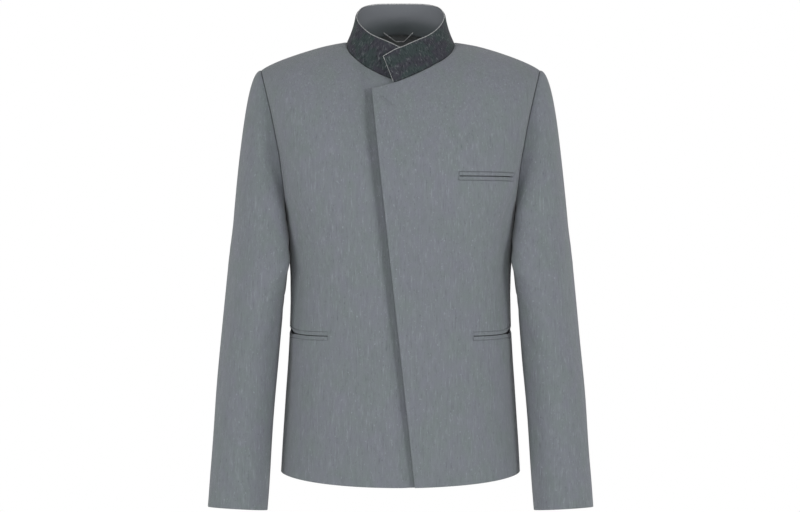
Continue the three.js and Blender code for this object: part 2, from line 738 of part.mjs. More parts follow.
// The sleeve's outside at an angle round it: `down` is 0 at the armhole, 1 at the top ring and 2 at
// the cuff.
function sleeve(turn, down) {
  if (down >= 1) {
    const edge = sleeveRing(turn, CUFF_LEVEL);
    const middle = { x: look(SLEEVE, "z", "x", CUFF_LEVEL), y: look(SLEEVE, "z", "y", CUFF_LEVEL) };
    const rise = CUFF_SLOPE.across * (edge.x - middle.x) - CUFF_SLOPE.along * (edge.y - middle.y);
    return sleeveRing(turn, mix(SLEEVE_TOP_RING, CUFF_LEVEL + rise, down - 1));
  }
  const start = armholePoint(turn).add(new THREE.Vector3(SEAM, 0, 0));
  const end = sleeveRing(turn, SLEEVE_TOP_RING);
  const drop = start.z - end.z;
  const reach = (CAP_REACH * drop) / (TOP_LINE.at(-1).z - SLEEVE_TOP_RING);
  const leave = new THREE.Vector3(start.x + reach, mix(start.y, end.y, CAP_SWAY), start.z);
  const arrive = end.clone().add(new THREE.Vector3(-CAP_LEAN * CAP_FALL * drop, 0, CAP_FALL * drop));
  return new THREE.CubicBezierCurve3(start, leave, arrive, end).getPoint(down);
}

function onSleeve(turn, down, out) {
  const at = sleeve(turn, down);
  const low = Math.min(down + NUDGE.down, 2);
  const round = sleeve(turn + NUDGE.turn, down).sub(sleeve(turn - NUDGE.turn, down));
  const along = sleeve(turn, low - 2 * NUDGE.down).sub(sleeve(turn, low));
  const normal = round.cross(along);
  if (down === 0) normal.x = 0; // the edge is cut square to the seam
  const fold = down < 1 ? 0 : foldDepth(SLEEVE_FOLDS, turn, at.z, SLEEVE_DEGREE);
  return at.addScaledVector(normal.normalize(), out - fold);
}

// Angles round the sleeve at the armhole's corners: up the front edge, then down the back one.
function sleeveTurns() {
  const { front, behind } = ARMHOLE;
  const up = front.lengths.map((s) => (180 * s) / front.total);
  const down = behind.lengths.map((s) => 360 - (180 * s) / behind.total);
  return [...up.slice(0, -1), ...down.slice(0, -1).reverse()];
}

function sleevePiece(side, turns) {
  const columns = turns.length - 1;
  return gridWall(columns, CAP_ROWS + SLEEVE_ROWS, 0, -CLOTH, (i, j, out) => {
    const turn = THREE.MathUtils.clamp(turns[i], turns[0] + SLEEVE_SEAM_GAP, turns[columns] - SLEEVE_SEAM_GAP);
    const down = j <= CAP_ROWS ? (j / CAP_ROWS) ** CAP_CROWDING : 1 + (j - CAP_ROWS) / SLEEVE_ROWS;
    const at = onSleeve(turn, down, out);
    at.x *= side;
    return at;
  });
}

// The collar

// Its seam on the neckline of one side, from the back centre to the front end, through the corners
// of the back and of the front.
function neckSeam(side) {
  const points = [];
  for (let i = 0; i < BACK_NECK_COLUMNS; i++) {
    const place = backPlace(i, BODY_ROWS + CHEST_ROWS);
    points.push(onBody(side * place.angle, place.rise, 0));
  }
  for (let i = FREE_COLUMNS + NECK_COLUMNS; i >= FREE_COLUMNS; i--) {
    const place = frontTop(side, i);
    points.push(onFront(side, place.angle, place.rise, 0));
  }
  return measured(points);
}

function collarTop(side) {
  const line = new THREE.CatmullRomCurve3(
    ownRows(COLLAR_TOP, side).map((p) => new THREE.Vector3(side * p.x, p.y, p.z)),
    false,
    "centripetal",
  );
  return measured(line.getPoints(COLLAR_EDGE_STEPS));
}

const NECK_SEAM = { left: neckSeam(1), right: neckSeam(-1) };
const COLLAR_EDGE = { left: collarTop(1), right: collarTop(-1) };

// The band's outside: share is -1 at the right end, 0 at the back centre and 1 at the left end, and
// up is 0 at the seam and 1 at the top edge.
function collar(share, up) {
  const name = share < 0 ? "right" : "left";
  const base = pointAlong(NECK_SEAM[name], Math.abs(share)).add(new THREE.Vector3(0, 0, SEAM));
  const top = pointAlong(COLLAR_EDGE[name], Math.abs(share));
  return base.lerp(top, up);
}

// The shares at which the collar is bent, so that its base follows the neckline's corners.
function collarShares() {
  const half = ({ lengths, total }) => {
    const shares = [0];
    for (let i = 1; i < lengths.length; i++) {
      for (let step = 1; step <= COLLAR_STEPS; step++) {
        shares.push(mix(lengths[i - 1], lengths[i], step / COLLAR_STEPS) / total);
      }
    }
    return shares;
  };
  const right = half(NECK_SEAM.right).map((share) => -share);
  return [...right.reverse().slice(0, -1), ...half(NECK_SEAM.left)];
}

// The top edge of the right end sinks under the left end, as its base does already.
function collarSink(share, up) {
  return share < 0 ? LAP * up * smooth((-share - SINK_FROM) / SINK_OVER) : 0;
}

// Directions of the band at a place: along it to the left end, up it, and out.
function collarFrame(share, up) {
  const high = Math.min(up + NUDGE.up, 1);
  const left = Math.min(share + NUDGE.share, 1);
  const right = Math.max(share - NUDGE.share, -1);
  const along = collar(left, up).sub(collar(right, up)).normalize();
  const upward = collar(share, high).sub(collar(share, high - 2 * NUDGE.up)).normalize();
  const outward = upward.clone().cross(along).normalize();
  return { along, upward, outward };
}

function onCollar(share, up, out) {
  const { outward } = collarFrame(share, up);
  const flat = smooth((share - FLAT_FROM) / FLAT_OVER);
  const hollow = COLLAR_HOLLOW * 4 * up * (1 - up) * (1 - flat);
  return collar(share, up).addScaledVector(outward, out - hollow - collarSink(share, up));
}

function collarWall(from, to, foot) {
  const shares = collarShares();
  return gridWall(shares.length - 1, COLLAR_ROWS, from, to, (i, j, out) => {
    return onCollar(shares[i], Math.max(foot, j / COLLAR_ROWS), out);
  });
}

// A cord through stations that each have a middle and two directions across it.
function cord(stations, radius, sides) {
  const columns = stations.length - 1;
  const points = [];
  for (const { middle, across, over } of stations) {
    for (let k = 0; k < sides; k++) {
      const turn = (2 * Math.PI * k) / sides;
      const at = middle.clone().addScaledVector(across, radius * Math.cos(turn));
      points.push(at.addScaledVector(over, radius * Math.sin(turn)));
    }
  }
  const faces = [];
  for (let i = 0; i < columns; i++) {
    for (let k = 0; k < sides; k++) {
      const a = i * sides + k;
      const b = i * sides + ((k + 1) % sides);
      faces.push([a, b, b + sides], [a, b + sides, a + sides]);
    }
  }
  for (let k = 1; k < sides - 1; k++) {
    const end = columns * sides;
    faces.push([0, k + 1, k], [end, end + k, end + k + 1]);
  }
  return closed(points, faces);
}

// The fine edge along the top of the collar and down its left end.
function collarPiping() {
  const middle = -(COLLAR_CLOTH + SEAM + FACING_CLOTH) / 2;
  const away = PIPING_RADIUS + SEAM;
  const stations = collarShares().map((share) => {
    const { upward, outward } = collarFrame(share, 1);
    const at = onCollar(share, 1, middle).addScaledVector(upward, away);
    return { middle: at, across: outward, over: upward };
  });
  const corner = stations.pop();
  const end = collarFrame(1, 1);
  corner.middle.addScaledVector(end.along, away);
  corner.over = end.upward.clone().add(end.along);
  stations.push(corner);
  for (const up of PIPING_END) {
    const { along, outward } = collarFrame(1, up);
    const at = onCollar(1, up, middle).addScaledVector(along, away);
    stations.push({ middle: at, across: outward, over: along });
  }
  return cord(stations, PIPING_RADIUS, PIPING_SIDES);
}

// The hanger loop, a narrow tape folded at two corners

function hangerLoop() {
  const path = [
    new THREE.Vector2(LOOP.left, LOOP.top),
    new THREE.Vector2(LOOP.leftCorner, LOOP.bottom),
    new THREE.Vector2(LOOP.rightCorner, LOOP.bottom),
    new THREE.Vector2(LOOP.right, LOOP.top),
  ];
  const lower = path.map((p, i) => new THREE.Vector2(p.x, p.y - (i % 3 ? LOOP_BAND : LOOP_END_BAND)));
  const shape = new THREE.Shape([...path, ...lower.reverse()]);
  const geometry = new THREE.ExtrudeGeometry(shape, { depth: LOOP_CLOTH, bevelEnabled: false });
  return geometry.rotateX(Math.PI / 2).translate(0, LOOP_BACK, 0);
}

// The jacket

const WOOL = new THREE.MeshStandardMaterial({ color: 0x7a8086, roughness: 0.9, metalness: 0 });
const COLLAR_WOOL = new THREE.MeshStandardMaterial({ color: 0x3e4346, roughness: 0.95, metalness: 0 });
const FACING = new THREE.MeshStandardMaterial({ color: 0x6e7277, roughness: 0.6, metalness: 0 });
const LINING = new THREE.MeshStandardMaterial({ color: 0x1d1f20, roughness: 0.5, metalness: 0 });
const TRIM = new THREE.MeshStandardMaterial({ color: 0x9a9d9f, roughness: 0.7, metalness: 0 });

const jacket = new THREE.Group();

function add(name, geometry, material) {
  const mesh = new THREE.Mesh(geometry, material);
  mesh.name = name;
  jacket.add(mesh);
}

const pockets = { left_hip: hipPocket(1), right_hip: hipPocket(-1), breast: breastPocket() };
add("front_left", front(1, [pockets.left_hip, pockets.breast]), WOOL);
add("front_right", front(-1, [pockets.right_hip]), WOOL);
for (const [name, made] of Object.entries(pockets)) {
  add(name + "_jet_upper", made.upperJet, WOOL);
  add(name + "_jet_lower", made.lowerJet, WOOL);
  add(name + "_pocket_backing", made.backing, LINING);
}
for (const [name, side] of [
  ["left", 1],
  ["right", -1],
]) {
  const turns = [...sleeveTurns(), 360];
  const backSeam = turns.length - 1 - SIDE_COLUMNS / 2 - SLEEVE_SEAM_ROW;
  add("back_" + name, back(side), WOOL);
  add("upper_sleeve_" + name, sleevePiece(side, turns.slice(0, backSeam + 1)), WOOL);
  add("under_sleeve_" + name, sleevePiece(side, turns.slice(backSeam)), WOOL);
}
const facingFrom = -COLLAR_CLOTH - SEAM;
add("collar_outer", collarWall(0, -COLLAR_CLOTH, 0), COLLAR_WOOL);
add("collar_facing", collarWall(facingFrom, facingFrom - FACING_CLOTH, FACING_FOOT), FACING);
add("collar_piping", collarPiping(), TRIM);
add("neck_lining", neckLining(), LINING);
add("hanger_loop", hangerLoop(), TRIM);

export default jacket;
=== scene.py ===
"""A short tailored jacket with a stand collar and a lapped front, hollow as when worn.

Sizes are in millimetres until a mesh is made, in the frame of the solids: +Z is up, the front faces
-Y and the wearer's left is +X. A place on the body is an angle round it, 0 at the front centre and
positive on the wearer's left, and a rise: -1 at the hem, 0 at the chest and 1 at the shoulders.
"""
import math

import bpy
import numpy as np
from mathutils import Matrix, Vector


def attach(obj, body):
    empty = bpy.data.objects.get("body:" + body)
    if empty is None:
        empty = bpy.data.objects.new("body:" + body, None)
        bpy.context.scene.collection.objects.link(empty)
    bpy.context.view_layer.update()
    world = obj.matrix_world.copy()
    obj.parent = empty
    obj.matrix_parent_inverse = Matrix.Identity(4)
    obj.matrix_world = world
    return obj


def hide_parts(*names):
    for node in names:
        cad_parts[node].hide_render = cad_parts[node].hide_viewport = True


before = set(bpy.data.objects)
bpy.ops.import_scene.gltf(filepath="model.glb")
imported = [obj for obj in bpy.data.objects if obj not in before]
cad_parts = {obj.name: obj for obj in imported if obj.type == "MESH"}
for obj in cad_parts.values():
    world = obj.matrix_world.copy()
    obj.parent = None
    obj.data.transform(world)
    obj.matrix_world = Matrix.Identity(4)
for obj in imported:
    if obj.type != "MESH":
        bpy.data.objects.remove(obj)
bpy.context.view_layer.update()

MM = 0.001
SIDE_NAMES = {1: "left", -1: "right"}


def columns(names, *rows):
    """The named columns of a table."""
    return dict(zip(names.split(), np.array(rows, float).T))


# Cloth
CLOTH = 2.2
COLLAR_CLOTH = 2.0
FACING_CLOTH = 1.2
THIN_CLOTH = 1.0
SEAM = 0.15  # gap between two pieces
LAP = 4.9  # how far the right front and the right collar end sink under the left ones

# Body form
CHEST_LEVEL = -235
SIDE_HEM_LEVEL = -641.5
FRONT_HEM_DROP = 11.5
BACK_HEM_DROP = 6
SHOULDER_HALF = 209
BACK_NECK_DEPTH = 59
NECK_BLEND_HALF = 125
SHOULDER_TIP_BACK = 3
BACK_BLADE_SQUARENESS = 0.12
ARMHOLE_SQUARENESS = 0.5
ARMHOLE_ANGLE = 70
ARMHOLE_DIP = 23
OVER_SHOULDER = 285  # length of the cloth from the chest up over the shoulder
BODY = columns(
    "z half front back square",
    (-660, 179.8, 121, 118, 0.1),
    (-603, 177.0, 120, 116, 0.1),
    (-535, 172.4, 117, 111, 0.1),
    (-468, 168.0, 113, 105, 0.11),
    (-400, 165.2, 111, 101, 0.12),
    (-355, 164.9, 112, 103, 0.14),
    (-311, 167.8, 115, 108, 0.17),
    (-259, 172.8, 118, 113, 0.22),
    (-235, 177.0, 118.5, 115, 0.25),
)
TOP_LINE = columns(
    "x z",
    (-42, 16.5), (0, 23.5), (42, 16.5), (63, 9), (80.5, 3.1), (96, -0.7), (120, -6.7),
    (141, -12.7), (159, -18.7), (175, -24.6), (189, -30.4), (201, -36.2), (209, -41),
)

# Front edges and neckline, with x positive on the front's own side. The last row of the neckline is
# for the left front alone.
SIDE_NECK = (80.5, 3.1)
NECKLINE = columns(
    "x z", SIDE_NECK, (80.2, -6), (77, -15), (66, -27.5), (50, -37.5), (27, -50), (0, -62), (-9, -65.5)
)
LAP_TOP = (-42.2, -76.6)
LAP_HEM = (20.4, -652)
UNDERLAP = 68
RIGHT_FRONT_TOP = -71
SINK_START = 22
SINK_END = 2
LIFT_REACH = 48
TUCK_UNDER, TUCK_START, TUCK_OVER = 2.4, 36, 34  # the right front's soft hollow beside the lap
LIFT = columns("z lift", (-660, 1.2), (-560, 2.6), (-420, 4.6), (-250, 6.2), (-140, 7.4), (-70, 3.6))

# Soft folds: angle and level of the middle, half length, half width, depth, and how far the fold
# leans sideways over its half length. A negative depth is a ridge. The first rows of each table are
# those of the solids, and the finer ones follow.
FOLD = "angle z length width depth lean"
BODY_FOLDS = columns(
    FOLD,
    (62, -330, 105, 17, 2.4, -18),
    (-60, -322, 98, 16, 2.2, 14),
    (74, -520, 90, 20, 2.0, 10),
    (-75, -530, 96, 19, 2.2, -12),
    (128, -330, 95, 18, 2.8, 16),
    (-130, -345, 100, 19, 2.6, -14),
    (158, -560, 70, 20, 2.0, -8),
    (-156, -552, 76, 18, 1.8, 10),
    (-4.4, -93, 8, 2.6, 2.8, -6.2),
    (-14, -124, 58, 9, 1.6, -5),
    (48, -352, 52, 8, 0.7, -12),
    (-47, -300, 60, 9, 0.7, 9),
    (57, -262, 30, 7, 0.9, 12),
    (-56, -255, 34, 7, 0.9, -13),
    (66, -205, 34, 6, 1.0, 9),
    (-66, -198, 38, 6, 1.1, -8),
    (30, -600, 48, 10, 0.6, -5),
    (-28, -588, 42, 9, 0.5, 6),
    (84, -395, 34, 8, 1.0, 14),
    (-88, -372, 40, 9, 1.1, -12),
    (104, -352, 36, 8, 1.2, 15),
    (-106, -392, 30, 8, 1.0, -14),
    (146, -402, 46, 9, 1.0, 16),
    (-141, -420, 40, 9, 0.9, -14),
    (116, -228, 44, 7, 1.2, -12),
    (-117, -236, 40, 7, 1.1, 13),
    (168, -118, 30, 10, 0.7, 16),
    (-165, -108, 34, 9, 0.7, -14),
    (138, -606, 40, 11, -0.9, 5),
    (-134, -600, 46, 12, -0.9, -4),
)
SLEEVE_FOLDS = columns(
    FOLD,
    (38, -322, 26, 15, 2.6, -30),
    (52, -452, 22, 13, 1.8, -22),
    (318, -420, 26, 15, 2.4, 26),
    (225, -345, 60, 15, 2.0, 12),
    (17, -290, 52, 10, -2.8, -3),
    (30, -400, 62, 9, 1.3, -7),
    (47, -365, 20, 8, 1.0, -22),
    (66, -398, 18, 8, 0.7, -18),
    (28, -505, 30, 8, 0.8, -12),
    (60, -560, 26, 9, 0.6, 12),
    (80, -622, 20, 10, 0.5, -14),
    (338, -392, 18, 8, 1.4, 22),
    (326, -366, 15, 7, 1.2, 20),
    (304, -448, 20, 9, 1.3, 24),
    (290, -480, 22, 9, 0.9, 18),
    (250, -405, 26, 9, 1.0, 22),
    (205, -470, 34, 10, 0.8, -12),
    (160, -300, 46, 11, 0.6, 6),
    (140, -430, 50, 12, 0.5, -8),
    (190, -590, 40, 11, 0.6, 8),
)

# A gentle unevenness of all the cloth, from crossing waves: direction, length and start of each
DRIFT_HEIGHT = 0.5
DRIFT_WAVES = (
    ((0.90, 0.30, 0.25), 96, 0.3),
    ((-0.75, 0.60, 0.30), 71, 2.1),
    ((0.50, -0.80, 0.35), 118, 4.4),
    ((0.30, 0.20, 0.90), 133, 1.2),
)

# Sleeves. The corner, which the solids don't have, squares a ring's inner front side, so that the
# sleeve covers the side edge of the body.
SLEEVE = columns(
    "z x half y depth lean corner",
    (-700, 241.4, 44.4, -42, 41, 2, 0),
    (-670, 239.3, 44.4, -39, 42.5, 3, 0),
    (-603, 235.2, 44.4, -31, 46.5, 5, 0),
    (-535, 231.0, 44.7, -23, 51, 7, 0),
    (-468, 225.4, 44.9, -17, 55, 9, 0),
    (-400, 219.6, 45.0, -13, 59, 12, 0.2),
    (-355, 214.8, 45.6, -13, 62, 14, 0.6),
    (-333, 212.7, 45.7, -13, 63, 14, 1.05),
    (-311, 211.6, 44.6, -10, 64, 12, 1.15),
    (-290, 211.5, 42.1, -6, 65, 8, 1.15),
    (-268, 211.6, 39.2, -2, 66, 3, 1.4),
)
SLEEVE_TOP_RING = -268
CUFF_LEVEL = -692.5
CUFF_ACROSS, CUFF_ALONG = 0.055, 0.1  # slope of the cuff's edge
CAP_REACH = 20
CAP_SWAY, CAP_SWAY_LOSS = 0.45, 0.45
CAP_SPREAD = 12  # how far the cap leaves the armhole sideways in front and behind
CAP_FALL = 0.55
CAP_LEAN = 0.1
CORNER_DEPTH = 0.38  # how much of the corner's squareness goes forwards
SLEEVE_SEAM_RISE = 5 / 9  # where the sleeve's back seam starts on the armhole
SLEEVE_SEAM_GAP = 0.08  # degrees
# On the way down, which is 0 at the armhole and 1 at the top ring
SLEEVE_FOLDS_FROM, SLEEVE_FOLDS_OVER = 23 / 24, 1 / 12
SLEEVE_DRIFT_OVER = 1 / 3

# Collar: its top edge from the back centre to the front end. The last row is for the left end.
COLLAR_TOP = columns(
    "x y z",
    (0, 55, 65.2), (20, 54, 64.9), (37, 49, 63.6), (51, 40, 60.4), (62, 25, 54), (67.6, 5, 41.5),
    (66, -10, 33), (62.5, -22, 25.7), (54, -38, 15), (41, -50, 5), (27.6, -57.5, -1.5),
    (14.5, -62.5, -7.7), (5, -65, -12.2), (-6.6, -65.8, -16.5), (-24.7, -64.6, -26.3),
)
COLLAR_HOLLOW = 1.6
SINK_FROM, SINK_OVER = 0.55, 0.17  # shares of the right half over which its end goes under
FLAT_FROM, FLAT_OVER = 0.5, 0.2  # shares of the left half over which it loses its hollow
FACING_FOOT = 0.025
FACING_HANG = -0.1  # the inside's foot at the back, over the lining
HANG_UNTIL, HANG_FADE = 0.4, 0.25
PIPING_RADIUS = 0.58
PIPING_END_RADIUS = 0.36
PIPING_SIDES = 10
PIPING_END = np.array([0.75, 0.5, 0.25, 0.04])

# Pockets
JET_HEIGHT = 5.2
JET_GAP = 0.12
JET_LEAST = 0.36  # least height of a jet's outside
BACKING_GAP = 0.9
MOUTH = 0.6
HIP_FROM, HIP_TO, HIP_LEVEL, HIP_RISE, HIP_BEND = 36.5, 103, -435.8, 11, 2.2
HIP_GAPE, HIP_GAPE_AT, HIP_GAPE_WIDTH = 2.6, 79, 8
BREAST_FROM_X, BREAST_TO_X, BREAST_LEVEL = 84.5, 165.5, -204
BACKING_LOW, BACKING_HIGH = -34, 16
JET_LIP, JET_ROLL = -1.25, 1.0  # how far a jet's edge at the mouth turns in, and over which share
BED_EDGE = 1.1
BED_START = 0.35  # share of a mouth over which its bed gets deep

# Inside the neck
LINING_GAP = 1.5
LINED_RISE = 5 / 9
LINED_COLUMN = 8
LINING_DROP = 0.012
LOOP_PATH = ((-26, 22.5), (-7, 8.5), (5, 8.5), (19, 22.5))
LOOP_BAND = 1.6
LOOP_END_BAND = 2.2
LOOP_BACK = 52
LOOP_CLOTH = 1.0
LOOP_ROUNDING = 0.3  # share of its cloth that it thins by at its edges

# Counts of columns that place the panels' corners, as in the solids
FREE_COLUMNS = 2
NECK_COLUMNS = 7
SHOULDER_COLUMNS = 7
SIDE_COLUMNS = 6
FRONT_COLUMNS = FREE_COLUMNS + NECK_COLUMNS + SHOULDER_COLUMNS
BACK_NECK_COLUMNS = 5
BACK_COLUMNS = BACK_NECK_COLUMNS + SHOULDER_COLUMNS

# Fineness of the meshes. Steps are points along a line, and cells are counted across a grid.
CELL = 3.0  # side of a cell of the panels
EDGE_CELL = 0.8  # of the narrow cell along an edge, which rounds it
TUCK = 0.32  # share of the cloth by which an edge turns in on each side
HALVINGS = 40
NECKLINE_STEPS = 48
BODY_DEGREE = 2.6  # length of a ring to one degree
SLEEVE_DEGREE = 0.95

# Small steps between which a surface's direction is measured
NUDGE_ANGLE, NUDGE_RISE, NUDGE_TURN, NUDGE_DOWN = 0.2, 0.004, 0.5, 0.01
NUDGE_SHARE, NUDGE_UP = 0.02, 0.05

# Cells of the panels, and rough lengths that make their edge cells narrow
FRONT_CELLS, UNDER_CELLS, BACK_CELLS = 118, 30, 66  # cells across each panel
FRONT_COLUMN, SIDE_COLUMN, BACK_COLUMN = 12, 16, 18  # rough widths of the columns
BACK_LOW_CELLS, BACK_HIGH_CELLS = 132, 84
BACK_LOW_LENGTH, BACK_HIGH_LENGTH = 400, 300
UPPER_LENGTH = 282  # of a front, from the chest to the shoulder seam
ABOVE_BREAST = 234  # of a front, from the breast pocket to the shoulder seam
BAND_COUNTS = [1, 1, 1, 2, 1]  # cells from a mouth outwards over its jet
BAND_ROOM = 26  # over which the rows come back to their even places

# Points along the lines that are measured, and cells of the smaller pieces
LEVEL_STEPS, RING_STEPS = 401, 721
UNDERARM_STEPS, ARMHOLE_STEPS = 40, 90
NECK_BACK_STEPS, NECK_FRONT_STEPS = 80, 120
SHOULDER_STEPS, SIDE_STEPS, BACK_STEPS = 60, 140, 220
JET_CELLS, JET_ROWS, JET_EDGE = 60, 8, 0.1
BACKING_COLUMNS, BACKING_ROWS = 60, 40
LINING_COLUMNS, LINING_ROWS = 90, 40
CAP_CELLS, LOWER_CELLS = 68, 140
CAP_EDGE, CUFF_EDGE = 0.004, 0.002
COLLAR_RIGHT_CELLS, COLLAR_LEFT_CELLS, COLLAR_ROWS = 110, 118, 22
COLLAR_END_EDGE, COLLAR_SIDE_EDGE = 0.005, 0.02
COLLAR_SPLINE_STEPS = 12
PIPING_STEPS, PIPING_END_STEPS, PIPING_THINS_OVER = 300, 40, 8
LOOP_STEPS, LOOP_ROWS, LOOP_EDGE = 80, 4, 0.12

# Where each piece's cloth lies in the depth of the noises, so that no two pieces look alike
FRONT_DEPTH, COLLAR_DEPTH, BACK_DEPTH, JET_DEPTH, BACKING_DEPTH, SLEEVE_DEPTH = 1, 3, 4, 7, 11, 20
COLLAR_LENGTH, COLLAR_HEIGHT = 200, 45  # of one half of the band, as its weave is laid out

# Seams draw in the outer face of the cloth beside them. The armhole's does it more at the underarm.
SEAM_DIP, SEAM_DIP_WIDTH = 0.75, 1.9
NECK_DIP, NECK_DIP_WIDTH = 0.6, 2.0
ARMHOLE_TOP_DIP, ARMHOLE_LOW_DIP = 0.15, 0.35
ARMHOLE_TOP_WIDTH, ARMHOLE_LOW_WIDTH = 1.2, 1.5
DIP_FROM, DIP_OVER = -60, 170


def mix(start, end, share):
    return start + (end - start) * share


def smooth(share):
    share = np.clip(share, 0, 1)
    return share * share * (3 - 2 * share)


def look(table, key, name, at):
    """Smooth value of one column of a table, at values of its key column. It never overshoots."""
    keys, values = table[key], table[name]
    step = np.diff(values) / np.diff(keys)
    product, total = step[:-1] * step[1:], step[:-1] + step[1:]
    inner = np.where(product > 0, 2 * product / np.where(total == 0, 1, total), 0)
    slopes = np.concatenate([step[:1], inner, step[-1:]])
    i = np.clip(np.searchsorted(keys, at) - 1, 0, len(keys) - 2)
    span = keys[i + 1] - keys[i]
    t = np.clip((at - keys[i]) / span, 0, 1)
    start, end, change = slopes[i] * span, slopes[i + 1] * span, values[i + 1] - values[i]
    bend = 3 * change - 2 * start - end + t * (start + end - 2 * change)
    return values[i] + t * (start + t * bend)


def crossing(low, high, value):
    """Where rising functions cross zero between two limits."""
    for _ in range(HALVINGS):
        middle = (low + high) / 2
        below = value(middle) < 0
        low, high = np.where(below, middle, low), np.where(below, high, middle)
    return (low + high) / 2


def unit(vectors):
    return vectors / np.linalg.norm(vectors, axis=-1, keepdims=True)


def lengths(line):
    """Distance along a line of points."""
    return np.concatenate([[0], np.cumsum(np.linalg.norm(np.diff(line, axis=0), axis=1))])


def along(line, share):
    """Points at shares of a line's length."""
    run = lengths(line)
    return np.stack([np.interp(np.asarray(share) * run[-1], run, line[:, k]) for k in range(3)], -1)


def distance(points, line):
    """Distance of each point to the nearest point of a line."""
    nearest = np.full(points.shape[:-1], np.inf)
    for at in line:
        nearest = np.minimum(nearest, np.linalg.norm(points - at, axis=-1))
    return nearest


def bell(away, width):
    return np.exp(-((away / width) ** 2))


# The body form


def fold_depth(folds, angle, z, degree_length):
    depth = 0
    for k in range(len(folds["z"])):
        fold = {name: column[k] for name, column in folds.items()}
        share = (z - fold["z"]) / fold["length"]
        turn = (angle - fold["angle"] + 180) % 360 - 180
        across = (turn * degree_length - share * fold["lean"]) / fold["width"]
        depth = depth + fold["depth"] * np.exp(-(across**2)) * np.exp(-(share**4))
    return depth


def hem_level(angle):
    facing = np.cos(np.radians(angle))
    return SIDE_HEM_LEVEL - np.where(facing > 0, FRONT_HEM_DROP, BACK_HEM_DROP) * facing**2


def ring(z, turn, behind):
    """Half of a body ring: how far out and how far forward or back."""
    square = look(BODY, "z", "square", z)
    depth = np.where(behind, look(BODY, "z", "back", z), look(BODY, "z", "front", z))
    out = look(BODY, "z", "half", z) * np.sin(turn) * (1 + square * np.cos(turn) ** 2)
    return out, depth * np.cos(turn) * (1 + square * np.sin(turn) ** 2)


CHEST_EDGE_X = ring(np.array(CHEST_LEVEL), math.radians(ARMHOLE_ANGLE), False)[0]


def body(angle, rise):
    """Points of the smooth form."""
    angle, rise = np.broadcast_arrays(np.asarray(angle, float), np.asarray(rise, float))
    angle = np.where(angle > 180, angle - 360, angle)
    side, turn = np.where(angle < 0, -1, 1), np.abs(angle)
    behind = turn > 90
    forward = np.where(behind, 1, -1)
    level = CHEST_LEVEL + np.minimum(rise, 0) * (CHEST_LEVEL - hem_level(angle))
    ring_x, ring_y = ring(level, np.radians(np.where(behind, 180 - turn, turn)), behind)
    outwards = ring_x / CHEST_EDGE_X
    top_x = SHOULDER_HALF * outwards
    near = np.maximum(0, 1 - (top_x / NECK_BLEND_HALF) ** 2)
    top_y = SHOULDER_TIP_BACK + BACK_NECK_DEPTH * near**2
    quarter = np.maximum(rise, 0) * math.pi / 2
    up, flat = np.sin(quarter), np.cos(quarter)
    square = mix(np.where(behind, BACK_BLADE_SQUARENESS, 0), ARMHOLE_SQUARENESS, outwards**3)
    x = side * mix(ring_x, top_x, (up + up * up) / 2)
    y = top_y + (forward * ring_y - top_y) * flat * (1 + square * up * up)
    z = level + (look(TOP_LINE, "x", "z", top_x) - CHEST_LEVEL) * up
    return np.stack([x, y, z], -1)


def body_normal(angle, rise):
    high = np.minimum(rise + NUDGE_RISE, 1)
    low = high - 2 * NUDGE_RISE
    around = body(angle + NUDGE_ANGLE, rise) - body(angle - NUDGE_ANGLE, rise)
    return unit(np.cross(around, body(angle, high) - body(angle, low)))


def rise_at(angle, z):
    """The rise of a level at an angle."""
    top = body(angle, 1)[..., 2]
    upper = np.arcsin(np.clip((z - CHEST_LEVEL) / (top - CHEST_LEVEL), 0, 1)) * 2 / math.pi
    return np.where(z <= CHEST_LEVEL, (z - CHEST_LEVEL) / (CHEST_LEVEL - hem_level(angle)), upper)


def seen_at(x, z):
    """Angle and rise of places on one front, from where they are seen from the front."""
    x, z = np.broadcast_arrays(np.asarray(x, float), np.asarray(z, float))
    limit = ARMHOLE_ANGLE + 0 * x
    angle = crossing(-limit, limit, lambda a: body(a, rise_at(a, z))[..., 0] - x)
    return angle, rise_at(angle, z)


# Outlines of the fronts and the back


def lap_edge(z):
    return mix(LAP_TOP[0], LAP_HEM[0], (z - LAP_TOP[1]) / (LAP_HEM[1] - LAP_TOP[1]))


def edge_angle(side, rise):
    """Angle of a front's own edge."""
    limit = ARMHOLE_ANGLE + 0 * rise

    def past(angle):
        at = body(angle, rise)
        edge = lap_edge(at[..., 2])
        return at[..., 0] - (edge if side > 0 else -(edge + UNDERLAP))

    return crossing(-limit, limit, past)


def seam_rise(angle):
    """The rise at which a panel stops short of the shoulder seam."""
    away = np.abs(body(angle, 0)[..., 1] - body(angle, 1)[..., 1])
    return 1 - SEAM / 2 / away * 2 / math.pi


def front_offset(side, at):
    """How far a front lies off the form: the left one lifts and the right one sinks at the lap."""
    past = at[..., 0] - lap_edge(at[..., 2])
    lift = look(LIFT, "z", "lift", at[..., 2])
    if side > 0:
        return lift * np.maximum(0, 1 - past / LIFT_REACH) ** 2
    hollow = TUCK_UNDER * lift / LIFT["lift"].max() * smooth((past + TUCK_START) / TUCK_OVER)
    return -LAP * smooth((past + SINK_START) / (SINK_START - SINK_END)) - hollow


def neckline(side, share):
    """Places on the front neckline, by their share of the way from the side neck point."""
    count = len(NECKLINE["x"]) - (side < 0)
    rows = {"x": NECKLINE["x"][:count], "z": NECKLINE["z"][:count], "i": np.arange(count)}
    steps = np.linspace(0, count - 1, NECKLINE_STEPS + 1)
    angle, rise = seen_at(look(rows, "i", "x", steps), look(rows, "i", "z", steps))
    run = lengths(body(angle, rise))
    table = {"share": run / run[-1], "angle": angle, "rise": rise}
    angle = look(table, "share", "angle", share)
    return angle, np.minimum(look(table, "share", "rise", share), seam_rise(angle))


